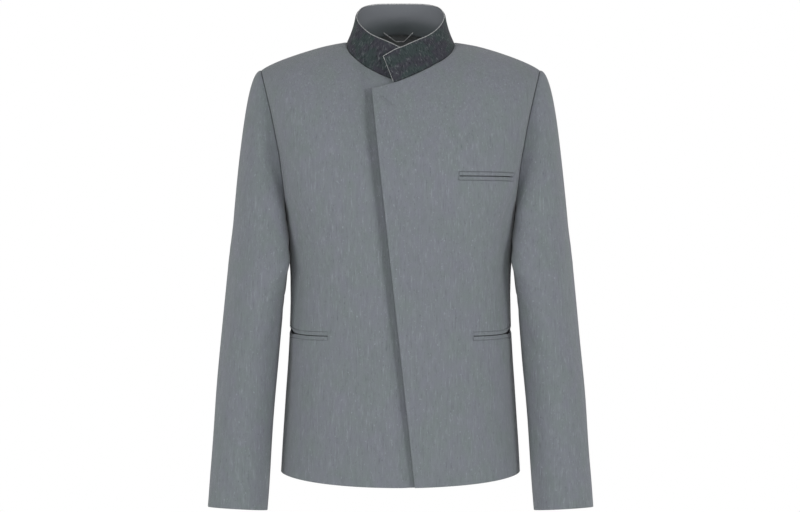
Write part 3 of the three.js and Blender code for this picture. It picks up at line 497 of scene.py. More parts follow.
def shoulder(share):
    """Places on a panel's edge at the shoulder seam, by their share of the way outwards."""
    angle = mix(float(seen_at(*SIDE_NECK)[0]), ARMHOLE_ANGLE, np.asarray(share, float))
    return angle, seam_rise(angle)


def front_top(side, column):
    """Top edge of a front: its free corner, then the neckline, then the shoulder seam."""
    column = np.atleast_1d(np.asarray(column, float))
    end = len(NECKLINE["x"]) - (1 if side > 0 else 2)
    corner = LAP_TOP if side > 0 else (-(lap_edge(RIGHT_FRONT_TOP) + UNDERLAP), RIGHT_FRONT_TOP)
    share = np.clip(column / FREE_COLUMNS, 0, 1)
    free = seen_at(mix(corner[0], NECKLINE["x"][end], share), mix(corner[1], NECKLINE["z"][end], share))
    neck = neckline(side, np.clip((FREE_COLUMNS + NECK_COLUMNS - column) / NECK_COLUMNS, 0, 1))
    out = shoulder(np.clip((column - FREE_COLUMNS - NECK_COLUMNS) / SHOULDER_COLUMNS, 0, 1))
    parts = [column < FREE_COLUMNS, column <= FREE_COLUMNS + NECK_COLUMNS]
    return tuple(np.select(parts, [free[k], neck[k]], out[k]) for k in range(2))


def front_angle(side, column, rise):
    """Angles of a front's columns: from its edge to the armhole, then under it."""
    under = 90 - (90 - ARMHOLE_ANGLE) * np.cos(math.pi * (column - FRONT_COLUMNS) / SIDE_COLUMNS)
    across = np.minimum(column / FRONT_COLUMNS, 1)
    return np.where(column > FRONT_COLUMNS, under, mix(edge_angle(side, rise), ARMHOLE_ANGLE, across))


def underarm_rise(angle):
    share = np.minimum(1, np.abs(angle - 90) / (90 - ARMHOLE_ANGLE))
    return rise_at(angle, CHEST_LEVEL - ARMHOLE_DIP * np.sqrt(1 - share * share))


# Grids


def spaced(stops, counts):
    """Values between successive stops, with a number of cells for each stretch."""
    stops = [np.atleast_1d(np.asarray(stop, float)) for stop in stops]
    rows = [stops[0][None]]
    for start, end, count in zip(stops[:-1], stops[1:], counts):
        rows.append(mix(start, end, (np.arange(1, count + 1) / count)[:, None]))
    return np.concatenate(rows)


def edged(low, high, count, edge):
    """Even steps with one narrow step at each end."""
    return spaced([low, low + edge, high - edge, high], [1, count, 1])[:, 0]


def band_stops(half):
    """Distances from a mouth's middle at which the rows of a pocket lie, below and above it."""
    jet = half + JET_HEIGHT
    above = [half, half + EDGE_CELL, jet - BED_EDGE, jet, jet + BED_EDGE, jet + 2 * BED_EDGE]
    return [-offset for offset in reversed(above)], above


def hip_mouth(angle):
    """Middle level and half opening of a hip pocket's mouth."""
    share = np.clip((angle - HIP_FROM) / (HIP_TO - HIP_FROM), 0, 1)
    half = MOUTH + HIP_GAPE * bell(angle - HIP_GAPE_AT, HIP_GAPE_WIDTH)
    return HIP_LEVEL + HIP_RISE * share**HIP_BEND, half


def breast_mouth(angle):
    return np.full(np.shape(angle), float(BREAST_LEVEL)), np.full(np.shape(angle), MOUTH)


class Pocket:
    """A jetted pocket: its mouth, its ends, how deep the bed of its jets is above and below the mouth,
    the share of that depth at the front end, and how high the jets stand out of it."""

    def __init__(self, mouth, ends, above, below, start, crown):
        self.mouth, self.ends, self.crown = mouth, ends, crown
        self.above, self.below, self.start = above, below, start

    def sink(self, angle, z):
        level, half = self.mouth(angle)
        away = np.abs(z - level) - half - JET_HEIGHT
        front, side = self.ends
        inside = smooth(np.minimum(angle - front, side - angle) * BODY_DEGREE + 1)
        share = np.clip((angle - front) / (side - front), 0, 1)
        depth = np.where(z > level, self.above, self.below) * inside * (1 - smooth(away / BED_EDGE))
        return depth * mix(self.start, 1, smooth(share / BED_START))


POCKETS = {
    "hip": Pocket(hip_mouth, (HIP_FROM, HIP_TO), above=1.35, below=1.35, start=1.0, crown=0.15),
    "breast": Pocket(
        breast_mouth, tuple(seen_at([BREAST_FROM_X, BREAST_TO_X], BREAST_LEVEL)[0]),
        above=2.8, below=2.1, start=0.85, crown=0.3,
    ),
}


class Panel:
    """A grid of places on the body, with the quads that its cloth has, or all of them."""

    def __init__(self, side, angle, rise, keep=None):
        self.side, self.angle, self.rise, self.keep = side, angle, rise, keep
        self.form = body(side * angle, rise)
        self.normal = body_normal(side * angle, rise)


def front_rows(side, column):
    """Rises of a front's rows under the chest, and the number of the row below its pocket's mouth."""
    middle = front_angle(side, column, np.full(column.shape, -0.5))
    end = np.where(column > FRONT_COLUMNS, underarm_rise(middle), 0)
    level, half = hip_mouth(middle)
    below, above = band_stops(half)
    steep = CHEST_LEVEL - hem_level(middle)
    at = [(level + offset - CHEST_LEVEL) / steep for offset in [-BAND_ROOM, *below, *above, BAND_ROOM]]
    edge = EDGE_CELL / steep
    stops = [-1 + 0 * edge, edge - 1, *at, end - edge, end]
    low = round((HIP_LEVEL - BAND_ROOM - SIDE_HEM_LEVEL) / CELL)
    high = round((CHEST_LEVEL - HIP_LEVEL - BAND_ROOM) / CELL)
    room = round((BAND_ROOM - JET_HEIGHT) / CELL)
    counts = [1, low, room, *reversed(BAND_COUNTS), 1, *BAND_COUNTS, room, high, 1]
    return spaced(stops, counts), 1 + low + room + sum(BAND_COUNTS)


def front_ups(side, column, place):
    """Shares of the way up from the chest for a front's upper rows, and the row below the mouth."""
    fine = np.linspace(0, 1, LEVEL_STEPS)[:, None]
    levels = body(*place(fine))[..., 2]
    below, above = band_stops(MOUTH)
    stops = [0 * column]
    for offset in [*below, *above]:
        target = BREAST_LEVEL + offset
        stops.append(np.array([np.interp(target, levels[:, i], fine[:, 0]) for i in range(len(column))]))
    edge = EDGE_CELL / UPPER_LENGTH
    stops += [np.full(column.shape, 1 - edge), np.ones(column.shape)]
    low = round((BREAST_LEVEL - CHEST_LEVEL - JET_HEIGHT) / CELL)
    high = round(ABOVE_BREAST / CELL)
    counts = [low, *reversed(BAND_COUNTS), 1, *BAND_COUNTS, high, 1]
    return spaced(stops, counts), low + sum(BAND_COUNTS)


def front_panel(side, pockets):
    """The grid of one front, with its pocket mouths left open."""
    last = FRONT_COLUMNS + SIDE_COLUMNS
    across = edged(0, FRONT_COLUMNS, FRONT_CELLS, EDGE_CELL / FRONT_COLUMN)
    under = edged(FRONT_COLUMNS, last, UNDER_CELLS, EDGE_CELL / SIDE_COLUMN)[1:]
    column = np.concatenate([across, under])
    rise, hip_row = front_rows(side, column)
    side_seam = 180 - ARMHOLE_ANGLE - SEAM / 2 / BODY_DEGREE
    angle = np.minimum(front_angle(side, column[None], rise), side_seam)
    top_angle, top_rise = front_top(side, across)
    share = across / FRONT_COLUMNS
    start = front_angle(side, across, np.zeros(across.shape))

    def place(up):
        edge = edge_angle(side, up * top_rise[0])
        corners = mix(mix(start[0], ARMHOLE_ANGLE, share), mix(top_angle[0], top_angle[-1], share), up)
        return mix(start, top_angle, up) + mix(edge, ARMHOLE_ANGLE, share) - corners, up * top_rise

    up, breast_row = front_ups(side, across, place)
    upper_angle, upper_rise = place(up[1:])
    spare = ((0, 0), (0, len(column) - len(across)))
    angle = np.concatenate([angle, np.pad(upper_angle, spare, mode="edge")])
    rise = np.concatenate([rise, np.pad(upper_rise, spare, mode="edge")])
    keep = np.ones((len(angle) - 1, len(column) - 1), bool)
    chest_row = len(angle) - len(up)
    keep[chest_row:, len(across) - 1:] = False
    for kind in pockets:
        row = hip_row if kind == "hip" else chest_row + breast_row
        ends = POCKETS[kind].ends
        keep[row, (angle[row, :-1] > ends[0]) & (angle[row, 1:] < ends[1])] = False
    return Panel(side, angle, rise, keep)


def back_column(column):
    """Angle of a back column, 180 at the centre. A negative column is on the other half."""
    neck = float(shoulder(0)[0])
    past = (np.abs(column) - BACK_NECK_COLUMNS) / SHOULDER_COLUMNS
    within = neck * np.abs(column) / BACK_NECK_COLUMNS
    angle = 180 - np.where(past <= 0, within, mix(neck, ARMHOLE_ANGLE, past))
    return np.where(column < 0, -angle, angle)


def back_panel(side):
    angle = back_column(edged(0, BACK_COLUMNS, BACK_CELLS, EDGE_CELL / BACK_COLUMN))
    gap = SEAM / 2 / BODY_DEGREE
    angle = np.clip(angle, 180 - ARMHOLE_ANGLE + gap, 180 - gap)
    low = edged(-1, 0, BACK_LOW_CELLS, EDGE_CELL / BACK_LOW_LENGTH)[:, None] + 0 * angle
    high = edged(0, 1, BACK_HIGH_CELLS, EDGE_CELL / BACK_HIGH_LENGTH)[1:, None] * seam_rise(angle)
    rise = np.concatenate([low, high])
    return Panel(side, angle + 0 * rise, rise)


# Meshes


def grid_quads(rows, across, keep):
    """Quads of a grid of points: those that it keeps, or all of them."""
    index = np.arange(rows * across).reshape(rows, across)
    quads = np.stack([index[:-1, :-1], index[:-1, 1:], index[1:, 1:], index[1:, :-1]], -1)
    return quads.reshape(-1, 4) if keep is None else quads[keep]


def rim_of(quads):
    """Edges that only one quad has."""
    edges = quads[:, [0, 1, 1, 2, 2, 3, 3, 0]].reshape(-1, 2)
    _, first, count = np.unique(np.sort(edges, axis=1), axis=0, return_index=True, return_counts=True)
    return edges[first[count == 1]]


def volume(points, quads):
    a, b, c, d = points[quads.T]
    return (a * (np.cross(b, c) + np.cross(c, d))).sum()


def area(points, quads):
    a, b, c, d = points[quads.T]
    return np.linalg.norm(np.cross(c - a, d - b), axis=1).sum() / 2


def mesh_object(name, points, quads, place, cloth):
    """A piece of the jacket from points in millimetres, with the place of each point on its cloth."""
    slot, material = cloth
    if volume(points, quads) < 0:
        quads = quads[:, ::-1]
    mesh = bpy.data.meshes.new(name)
    mesh.from_pydata((points * MM).tolist(), [], quads.tolist())
    mesh.shade_smooth()
    held = mesh.attributes.new("cloth_place", "FLOAT_VECTOR", "POINT")
    held.data.foreach_set("vector", place.astype(np.float32).ravel())
    mesh.materials.append(material)
    piece = bpy.data.objects.new(name, mesh)
    bpy.context.scene.collection.objects.link(piece)
    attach(piece, "root")
    return piece


def cloth_piece(name, node, outer, inner, place, cloth, keep=None):
    """A wall of cloth between two grids of points. It returns the piece and the cut of its cloth."""
    width, length = (np.linalg.norm(np.diff(outer, axis=k), axis=-1).sum(axis=k).max() for k in (1, 0))
    used, quads = np.unique(grid_quads(*outer.shape[:2], keep), return_inverse=True)
    quads = quads.reshape(-1, 4)
    outer, inner, place = (grid.reshape(-1, 3)[used] for grid in (outer, inner, place))
    cut = {"flat": (width * MM, length * MM), "area": area(outer, quads) * MM * MM}
    rim = rim_of(quads)
    edge = np.unique(rim)
    turned = (inner[edge] - outer[edge]) * TUCK
    outer[edge] += turned
    inner[edge] -= turned
    count = len(used)
    closing = np.stack([rim[:, 1], rim[:, 0], rim[:, 0] + count, rim[:, 1] + count], -1)
    faces = np.concatenate([quads, quads[:, ::-1] + count, closing])
    piece = mesh_object(name, np.concatenate([outer, inner]), faces, np.tile(place, (2, 1)), cloth)
    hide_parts(node)
    return piece, cut


def cloth_place(angle, rise, depth):
    """Where points of the body lie on their cloth, from the chest ring's length and the way up."""
    turns = np.linspace(-180, 180, RING_STEPS)
    across = np.interp(angle, turns, lengths(body(turns, 0)))
    up = CHEST_LEVEL + rise * np.where(rise <= 0, CHEST_LEVEL - hem_level(angle), OVER_SHOULDER)
    return np.stack([across, up, np.full(np.shape(angle), float(depth))], -1)


# The cloth's surface


def drift(form):
    """A gentle unevenness over the cloth, from a few crossing waves."""
    total = 0
    for direction, size, start in DRIFT_WAVES:
        total = total + np.sin(form @ np.array(direction) * 2 * math.pi / size + start)
    return DRIFT_HEIGHT * total / len(DRIFT_WAVES)


def relief(angle, form):
    """How far the folds and the unevenness move the cloth out from the smooth form."""
    return drift(form) - fold_depth(BODY_FOLDS, angle, form[..., 2], BODY_DEGREE)


def surface(angle, rise, out):
    form = body(angle, rise)
    return form + body_normal(angle, rise) * (out + relief(angle, form))[..., None]


def front_relief(side, angle, form):
    """How far a front's cloth is moved out. The angle is on the front's own side."""
    depth = front_offset(side, form) + relief(side * angle, form)
    for kind in ["hip", "breast"] if side > 0 else ["hip"]:
        depth = depth - POCKETS[kind].sink(angle, form[..., 2])
    return depth


def front_surface(side, angle, rise, out):
    form = body(side * angle, rise)
    return form + body_normal(side * angle, rise) * (out + front_relief(side, angle, form))[..., None]


def armhole_lines(side):
    """The armhole's edges from the underarm up to the shoulder tip, in front and behind, in the
    places that they have on the wearer's left."""
    under = 90 - (90 - ARMHOLE_ANGLE) * np.sin(np.linspace(0, math.pi / 2, UNDERARM_STEPS))
    rise = np.linspace(0, 1, ARMHOLE_STEPS)[1:]
    angle = np.concatenate([under, np.full(rise.shape, float(ARMHOLE_ANGLE))])
    rises = np.concatenate([underarm_rise(under), rise])
    return [surface(side * a, rises, 0) * [side, 1, 1] for a in (angle, 180 - angle)]


def neck_seam(side):
    """The collar's seam on the neckline, from the back centre to the front end."""
    angle = back_column(np.linspace(0, BACK_NECK_COLUMNS, NECK_BACK_STEPS)[:-1])
    behind = surface(side * angle, seam_rise(angle), 0)
    column = np.linspace(FREE_COLUMNS + NECK_COLUMNS, FREE_COLUMNS, NECK_FRONT_STEPS)
    return np.concatenate([behind, front_surface(side, *front_top(side, column), 0)])


ARMHOLES = {1: armhole_lines(1), -1: armhole_lines(-1)}
NECK_SEAMS = {1: neck_seam(1), -1: neck_seam(-1)}
SEAM_LINES = (
    body(shoulder(np.linspace(0, 1, SHOULDER_STEPS))[0], 1),
    body(180 - ARMHOLE_ANGLE, np.linspace(-1, 0, SIDE_STEPS)),
    body(180, np.linspace(-1, 1, BACK_STEPS)),
)


def armhole_dip(form, side):
    """How far the armhole seam draws the cloth in, at places moved to the wearer's left."""
    away = np.minimum(*(distance(form, line) for line in ARMHOLES[side]))
    low = smooth((DIP_FROM - form[..., 2]) / DIP_OVER)
    width = mix(ARMHOLE_TOP_WIDTH, ARMHOLE_LOW_WIDTH, low)
    return mix(ARMHOLE_TOP_DIP, ARMHOLE_LOW_DIP, low) * bell(away, width)


def seam_dip(form, side):
    """How far the seams draw in the outer face of the body's cloth."""
    mirrored = form * [side, 1, 1]
    neck = NECK_DIP * bell(distance(form, NECK_SEAMS[side]), NECK_DIP_WIDTH)
    dip = np.maximum(armhole_dip(mirrored, side), neck)
    for line in SEAM_LINES:
        dip = np.maximum(dip, SEAM_DIP * bell(distance(mirrored, line), SEAM_DIP_WIDTH))
    return dip


def on_front(name, node, side, angle, z, outside, inside, depth, cloth):
    """A piece of cloth along a front, between two heights over the front's outside."""
    rise = rise_at(angle, z)
    outer, inner = (front_surface(side, angle, rise, out) for out in (outside, inside))
    return cloth_piece(name, node, outer, inner, cloth_place(side * angle, rise, depth), cloth)


def jet_piece(name, node, side, pocket, up, cloths):
    """One folded jet along a pocket's mouth: a rounded strip. up is 1 above the mouth and -1 below."""
    angle = edged(*pocket.ends, JET_CELLS, EDGE_CELL / BODY_DEGREE / 2)
    level, half = pocket.mouth(angle)
    share = edged(0, 1, JET_ROWS, JET_EDGE)[:, None]
    z = level + up * (half + share * JET_HEIGHT)
    angle = angle + 0 * z
    height = pocket.sink(angle, z) + pocket.crown + JET_LIP * (1 - smooth(share / JET_ROLL))
    outside = np.maximum(height, JET_LEAST)
    depth = JET_DEPTH + up
    return on_front(name, node, side, angle, z, outside, JET_GAP, depth, cloths["wool"])[0]


def backing_piece(name, node, side, pocket, cloths):
    """The cloth behind a pocket's mouth, near black: its own dark lining with the shade inside the
    pocket painted into it.
    """
    angle = np.linspace(*pocket.ends, BACKING_COLUMNS)
    z = pocket.mouth(angle)[0] + np.linspace(BACKING_LOW, BACKING_HIGH, BACKING_ROWS)[:, None]
    outside = -CLOTH - BACKING_GAP
    inside = outside - THIN_CLOTH
    cloth = cloths["lining"]
    return on_front(name, node, side, angle + 0 * z, z, outside, inside, BACKING_DEPTH, cloth)


def pocket_pieces(kind, side, cloths):
    """The two jets and the backing of a pocket."""
    pocket = POCKETS[kind]
    stem = kind if kind == "breast" else f"{SIDE_NAMES[side]}_{kind}"
    jets = [
        jet_piece(f"{stem}_welt_{word}", f"{stem}_jet_{word}", side, pocket, up, cloths)
        for word, up in (("upper", 1), ("lower", -1))
    ]
    behind, cut = backing_piece(f"{stem}_bag_front", f"{stem}_pocket_backing", side, pocket, cloths)
    return jets


def panel_piece(name, node, panel, depth, place, cloths):
    """A panel of the body. The seams draw in its outer face alone."""
    outer = panel.form + panel.normal * (depth - seam_dip(panel.form, panel.side))[..., None]
    inner = panel.form + panel.normal * (depth - CLOTH)[..., None]
    return cloth_piece(name, node, outer, inner, place, cloths["wool"], panel.keep)


def front_piece(side, cloths):
    word = SIDE_NAMES[side]
    pockets = ["hip", "breast"] if side > 0 else ["hip"]
    panel = front_panel(side, pockets)
    place = cloth_place(side * panel.angle, panel.rise, FRONT_DEPTH + side)
    depth = front_relief(side, panel.angle, panel.form)
    piece, cut = panel_piece(f"cloth_front_{word}", f"front_{word}", panel, depth, place, cloths)
    jets = [jet for kind in pockets for jet in pocket_pieces(kind, side, cloths)]


def back_piece(side, cloths):
    word = SIDE_NAMES[side]
    panel = back_panel(side)
    place = cloth_place(side * panel.angle, panel.rise, BACK_DEPTH + side)
    depth = relief(side * panel.angle, panel.form)
    piece, cut = panel_piece(f"cloth_back_{word}", f"back_{word}", panel, depth, place, cloths)


def lining_piece(cloths):
    """The lining of the back neck."""
    column = np.linspace(-LINED_COLUMN, LINED_COLUMN, LINING_COLUMNS)
    angle = np.where(column < 0, 360, 0) + back_column(column)
    share = np.linspace(LINED_RISE, 1, LINING_ROWS)[:, None]
    rise = share * seam_rise(angle) - LINING_DROP * (share == 1)
    angle = angle + 0 * rise
    outer = surface(angle, rise, -CLOTH - LINING_GAP)
    inner = surface(angle, rise, -CLOTH - LINING_GAP - THIN_CLOTH)
    place = np.stack([angle * BODY_DEGREE, rise * OVER_SHOULDER, 0 * angle], -1)
    piece, cut = cloth_piece("back_neck_lining", "neck_lining", outer, inner, place, cloths["neck"])


# Sleeves, worked out on the wearer's left


def armhole_point(side, turn):
    turn = np.asarray(turn, float) % 360
    front, behind = ARMHOLES[side]
    ahead = along(front, np.clip(turn / 180, 0, 1))
    after = along(behind, np.clip((360 - turn) / 180, 0, 1))
    return np.where((turn <= 180)[..., None], ahead, after)


def sleeve_ring(turn, z):
    cos, sin = np.cos(np.radians(turn)), np.sin(np.radians(turn))
    corner = np.where((sin > 0) & (cos > 0), look(SLEEVE, "z", "corner", z), 0)
    x = look(SLEEVE, "z", "x", z) - look(SLEEVE, "z", "half", z) * cos * (1 + corner * (sin * cos) ** 2)
    deep = 1 + CORNER_DEPTH * corner * cos * cos
    y = look(SLEEVE, "z", "y", z) - look(SLEEVE, "z", "depth", z) * sin * deep
    y = y - look(SLEEVE, "z", "lean", z) * cos
    return np.stack([x, y, z + 0 * x], -1)


def sleeve(side, turn, down):
    """The sleeve's outside: down is 0 at the armhole, 1 at the top ring and 2 at the cuff."""
    turn, down = np.broadcast_arrays(np.asarray(turn, float), np.asarray(down, float))
    cuff = sleeve_ring(turn, CUFF_LEVEL)
    middle = [look(SLEEVE, "z", name, CUFF_LEVEL) for name in ("x", "y")]
    slope = (cuff[..., :2] - middle) @ [CUFF_ACROSS, -CUFF_ALONG]
    lower = sleeve_ring(turn, mix(SLEEVE_TOP_RING, CUFF_LEVEL + slope, np.maximum(down - 1, 0)))
    start = armhole_point(side, turn) + [SEAM, 0, 0]
    end = sleeve_ring(turn, SLEEVE_TOP_RING)
    drop = start[..., 2] - end[..., 2]
    aside = np.sin(np.radians(turn)) ** 2
    reach = CAP_REACH * drop / (TOP_LINE["z"][-1] - SLEEVE_TOP_RING) + CAP_SPREAD * aside**2
    sway = CAP_SWAY * (1 - CAP_SWAY_LOSS * aside)
    leave = np.stack([start[..., 0] + reach, mix(start[..., 1], end[..., 1], sway), start[..., 2]], -1)
    arrive = end + np.stack([-CAP_LEAN * CAP_FALL * drop, 0 * drop, CAP_FALL * drop], -1)
    t = np.minimum(down, 1)[..., None]
    cap = (1 - t) ** 3 * start + 3 * t * (1 - t) ** 2 * leave + 3 * t * t * (1 - t) * arrive + t**3 * end
    return np.where((down >= 1)[..., None], lower, cap)


def sleeve_seam_turn(side):
    """The angle round the sleeve at which its back seam starts."""
    behind = ARMHOLES[side][1]
    run = lengths(behind)
    z = body(180.0 - ARMHOLE_ANGLE, SLEEVE_SEAM_RISE)[2]
    return 360 - 180 * np.interp(z, behind[:, 2], run) / run[-1]


def sleeve_piece(kind, side, turns, cloths):
    word = SIDE_NAMES[side]
    start, end = turns
    count = round((end - start) * SLEEVE_DEGREE / CELL)
    turn = edged(start + SLEEVE_SEAM_GAP, end - SLEEVE_SEAM_GAP, count, EDGE_CELL)
    cap = spaced([0, CAP_EDGE, 1], [1, CAP_CELLS])[:, 0]
    lower = spaced([1, 2 - CUFF_EDGE, 2], [LOWER_CELLS, 1])[1:, 0]
    down = np.concatenate([cap, lower])[:, None]
    form = sleeve(side, turn, down)
    low = np.minimum(down + NUDGE_DOWN, 2)
    around = sleeve(side, turn + NUDGE_TURN, down) - sleeve(side, turn - NUDGE_TURN, down)
    normal = np.cross(around, sleeve(side, turn, low - 2 * NUDGE_DOWN) - sleeve(side, turn, low))
    normal[0, :, 0] = 0
    normal = unit(normal)
    turn = turn + 0 * down
    z = form[..., 2]
    place = np.stack([turn * SLEEVE_DEGREE, z, SLEEVE_DEPTH + side + 0 * z], -1)
    folds = fold_depth(SLEEVE_FOLDS, turn, z, SLEEVE_DEGREE)
    folds = folds * smooth((down - SLEEVE_FOLDS_FROM) / SLEEVE_FOLDS_OVER)
    offset = smooth(down / SLEEVE_DRIFT_OVER) * drift(form * [side, 1, 1]) - folds
    beside = np.minimum(turn - start, end - turn) * SLEEVE_DEGREE
    dip = np.maximum(armhole_dip(form, side), SEAM_DIP * bell(beside, SEAM_DIP_WIDTH))
    outer = (form + normal * (offset - dip)[..., None]) * [side, 1, 1]
    inner = (form + normal * (offset - CLOTH)[..., None]) * [side, 1, 1]
    node = f"{kind}_sleeve_{word}"
    piece, cut = cloth_piece("cloth_" + node, node, outer, inner, place, cloths["wool"])


# Collar


def smooth_line(points, steps):
    """A centripetal spline through points."""
    points = np.concatenate([2 * points[:1] - points[1:2], points, 2 * points[-1:] - points[-2:-1]])
    gap = np.linalg.norm(np.diff(points, axis=0), axis=1) ** 0.5
    line = []
    for i in range(1, len(points) - 2):
        p0, p1, p2, p3 = points[i - 1:i + 3]
        d0, d1, d2 = gap[i - 1:i + 2]
        first = ((p1 - p0) / d0 - (p2 - p0) / (d0 + d1) + (p2 - p1) / d1) * d1
        last = ((p2 - p1) / d1 - (p3 - p1) / (d1 + d2) + (p3 - p2) / d2) * d1
        for t in np.arange(steps) / steps:
            a, b = 2 * p1 - 2 * p2 + first + last, -3 * p1 + 3 * p2 - 2 * first - last
            line.append(((a * t + b) * t + first) * t + p1)
    return np.array([*line, points[-2]])


def collar_top(side):
    count = len(COLLAR_TOP["x"]) - (side < 0)
    points = np.stack([COLLAR_TOP["x"] * side, COLLAR_TOP["y"], COLLAR_TOP["z"]], -1)[:count]
    return smooth_line(points, COLLAR_SPLINE_STEPS)


COLLAR_TOPS = {1: collar_top(1), -1: collar_top(-1)}


def collar(share, up):
    """The band's outside: share is -1 at the right end and 1 at the left one, and up is 1 on top."""
    share, up = np.broadcast_arrays(np.asarray(share, float), np.asarray(up, float))
    at = {}
    for side in (1, -1):
        base = along(NECK_SEAMS[side], np.clip(share * side, 0, 1)) + [0, 0, SEAM]
        at[side] = mix(base, along(COLLAR_TOPS[side], np.clip(share * side, 0, 1)), up[..., None])
    return np.where((share < 0)[..., None], at[-1], at[1])


def collar_frame(share, up):
    """Directions along the band to its left end, up it, and out."""
    high = np.minimum(up + NUDGE_UP, 1)
    ahead, behind = np.minimum(share + NUDGE_SHARE, 1), np.maximum(share - NUDGE_SHARE, -1)
    onwards = unit(collar(ahead, up) - collar(behind, up))
    upward = unit(collar(share, high) - collar(share, high - 2 * NUDGE_UP))
    return onwards, upward, unit(np.cross(upward, onwards))


def on_collar(share, up, out):
    flat = smooth((share - FLAT_FROM) / FLAT_OVER)
    sink = np.where(share < 0, LAP * up * smooth((-share - SINK_FROM) / SINK_OVER), 0)
    hollow = COLLAR_HOLLOW * 4 * up * (1 - up) * (1 - flat)
    return collar(share, up) + collar_frame(share, up)[2] * (out - hollow - sink)[..., None]


def collar_piece(name, node, start, thick, hang, cloth):
    """One layer of the collar. It returns the piece and the cut of its cloth."""
    right = edged(-1, 0, COLLAR_RIGHT_CELLS, COLLAR_END_EDGE)
    left = edged(0, 1, COLLAR_LEFT_CELLS, COLLAR_END_EDGE)
    share = np.concatenate([right[:-1], left])
    foot = mix(*hang, smooth((np.abs(share) - HANG_UNTIL) / HANG_FADE))
    up = mix(foot, 1, edged(0, 1, COLLAR_ROWS, COLLAR_SIDE_EDGE)[:, None])
    share = share + 0 * up
    place = np.stack([share * COLLAR_LENGTH, up * COLLAR_HEIGHT, COLLAR_DEPTH + 0 * up], -1)
    outer, inner = on_collar(share, up, start + 0 * up), on_collar(share, up, start - thick + 0 * up)
    return cloth_piece(name, node, outer, inner, place, cloth)


def collar_pieces(cloths):
    """The band, its inside and its piped edge. At the back the inside reaches down over the lining."""
    piping = piping_piece(cloths)
    band, cut = collar_piece(
        "collar_band", "collar_outer", 0, COLLAR_CLOTH, (0, 0), cloths["collar"]
    )
    inside, cut = collar_piece(
        "collar_inside", "collar_facing", -COLLAR_CLOTH - SEAM, FACING_CLOTH,
        (FACING_HANG, FACING_FOOT), cloths["facing"],
    )


def cord_piece(name, node, middles, across, over, radii, sides, cloth):
    """A round cord through stations with two directions across it and a radius each."""
    turns = np.arange(sides) * 2 * math.pi / sides
    around = across[:, None] * np.cos(turns)[:, None] + over[:, None] * np.sin(turns)[:, None]
    points = middles[:, None] + radii[:, None, None] * around
    count = len(middles)
    index = np.arange(count * sides).reshape(count, sides)
    turned = np.roll(index, -1, axis=1)
    quads = np.stack([index[:-1], turned[:-1], turned[1:], index[1:]], -1).reshape(-1, 4)
    ends = np.array([count * sides, count * sides + 1])
    points = np.concatenate([points.reshape(-1, 3), middles[[0, -1]]])
    caps = []
    for k in range(0, sides, 2):
        caps.append([ends[0], index[0, (k + 2) % sides], index[0, k + 1], index[0, k]])
        caps.append([ends[1], index[-1, k], index[-1, k + 1], index[-1, (k + 2) % sides]])
    run = np.repeat(lengths(middles), sides)
    place = np.stack([np.outer(radii, turns).ravel(), run, 0 * run], -1)
    place = np.concatenate([place, np.zeros((2, 3))])
    piece = mesh_object(name, points, np.concatenate([quads, caps]), place, cloth)
    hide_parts(node)
    return piece


def piping_piece(cloths):
    """The fine edge along the top of the collar and down its left end."""
    middle = -(COLLAR_CLOTH + SEAM + FACING_CLOTH) / 2
    away = PIPING_RADIUS + SEAM
    share = np.linspace(-1, 1, PIPING_STEPS)
    ones = np.ones(share.shape)
    _, upward, outward = collar_frame(share, ones)
    middles = on_collar(share, ones, middle * ones) + upward * away
    steps = np.linspace(0, len(PIPING_END), PIPING_END_STEPS)
    down = np.interp(steps, np.arange(len(PIPING_END) + 1), [1, *PIPING_END])
    ends = np.ones(down.shape)
    onwards, end_up, end_out = collar_frame(ends, down)
    tail = on_collar(ends, down, middle * ends) + onwards * away
    corner = middles[-1] + onwards[0] * away
    middles = np.concatenate([middles[:-1], corner[None], tail[1:]])
    over = np.concatenate([upward[:-1], unit(end_up[:1] + onwards[:1]), onwards[1:]])
    across = np.concatenate([outward[:-1], end_out])
    past = np.maximum(np.arange(len(middles)) - len(share), 0)
    radii = mix(PIPING_RADIUS, PIPING_END_RADIUS, smooth(past / PIPING_THINS_OVER))
    return cord_piece(
        "collar_edge", "collar_piping", middles, across, over, radii, PIPING_SIDES, cloths["trim"]
    )


def loop_piece(cloths):
    """The hanger loop, a narrow tape folded at two corners, with rounded edges."""
    corners = np.array(LOOP_PATH, float)
    run = lengths(corners)
    at = np.linspace(0, run[-1], LOOP_STEPS)
    top = np.stack([np.interp(at, run, corners[:, k]) for k in range(2)], -1)
    band = np.interp(at, run, [LOOP_END_BAND, LOOP_BAND, LOOP_BAND, LOOP_END_BAND])
    share = edged(0, 1, LOOP_ROWS, LOOP_EDGE)[:, None]
    x = top[:, 0] + 0 * share
    z = top[:, 1] - band * share
    bulge = LOOP_CLOTH * (1 - LOOP_ROUNDING * (2 * share - 1) ** 2)
    front = np.stack([x, LOOP_BACK - bulge + 0 * x, z], -1)
    behind = np.stack([x, LOOP_BACK + 0 * x, z], -1)
    place = np.stack([at + 0 * z, share * band, 0 * z], -1)
    cloth_piece("loop_tape", "hanger_loop", front, behind, place, cloths["trim"])


# Materials

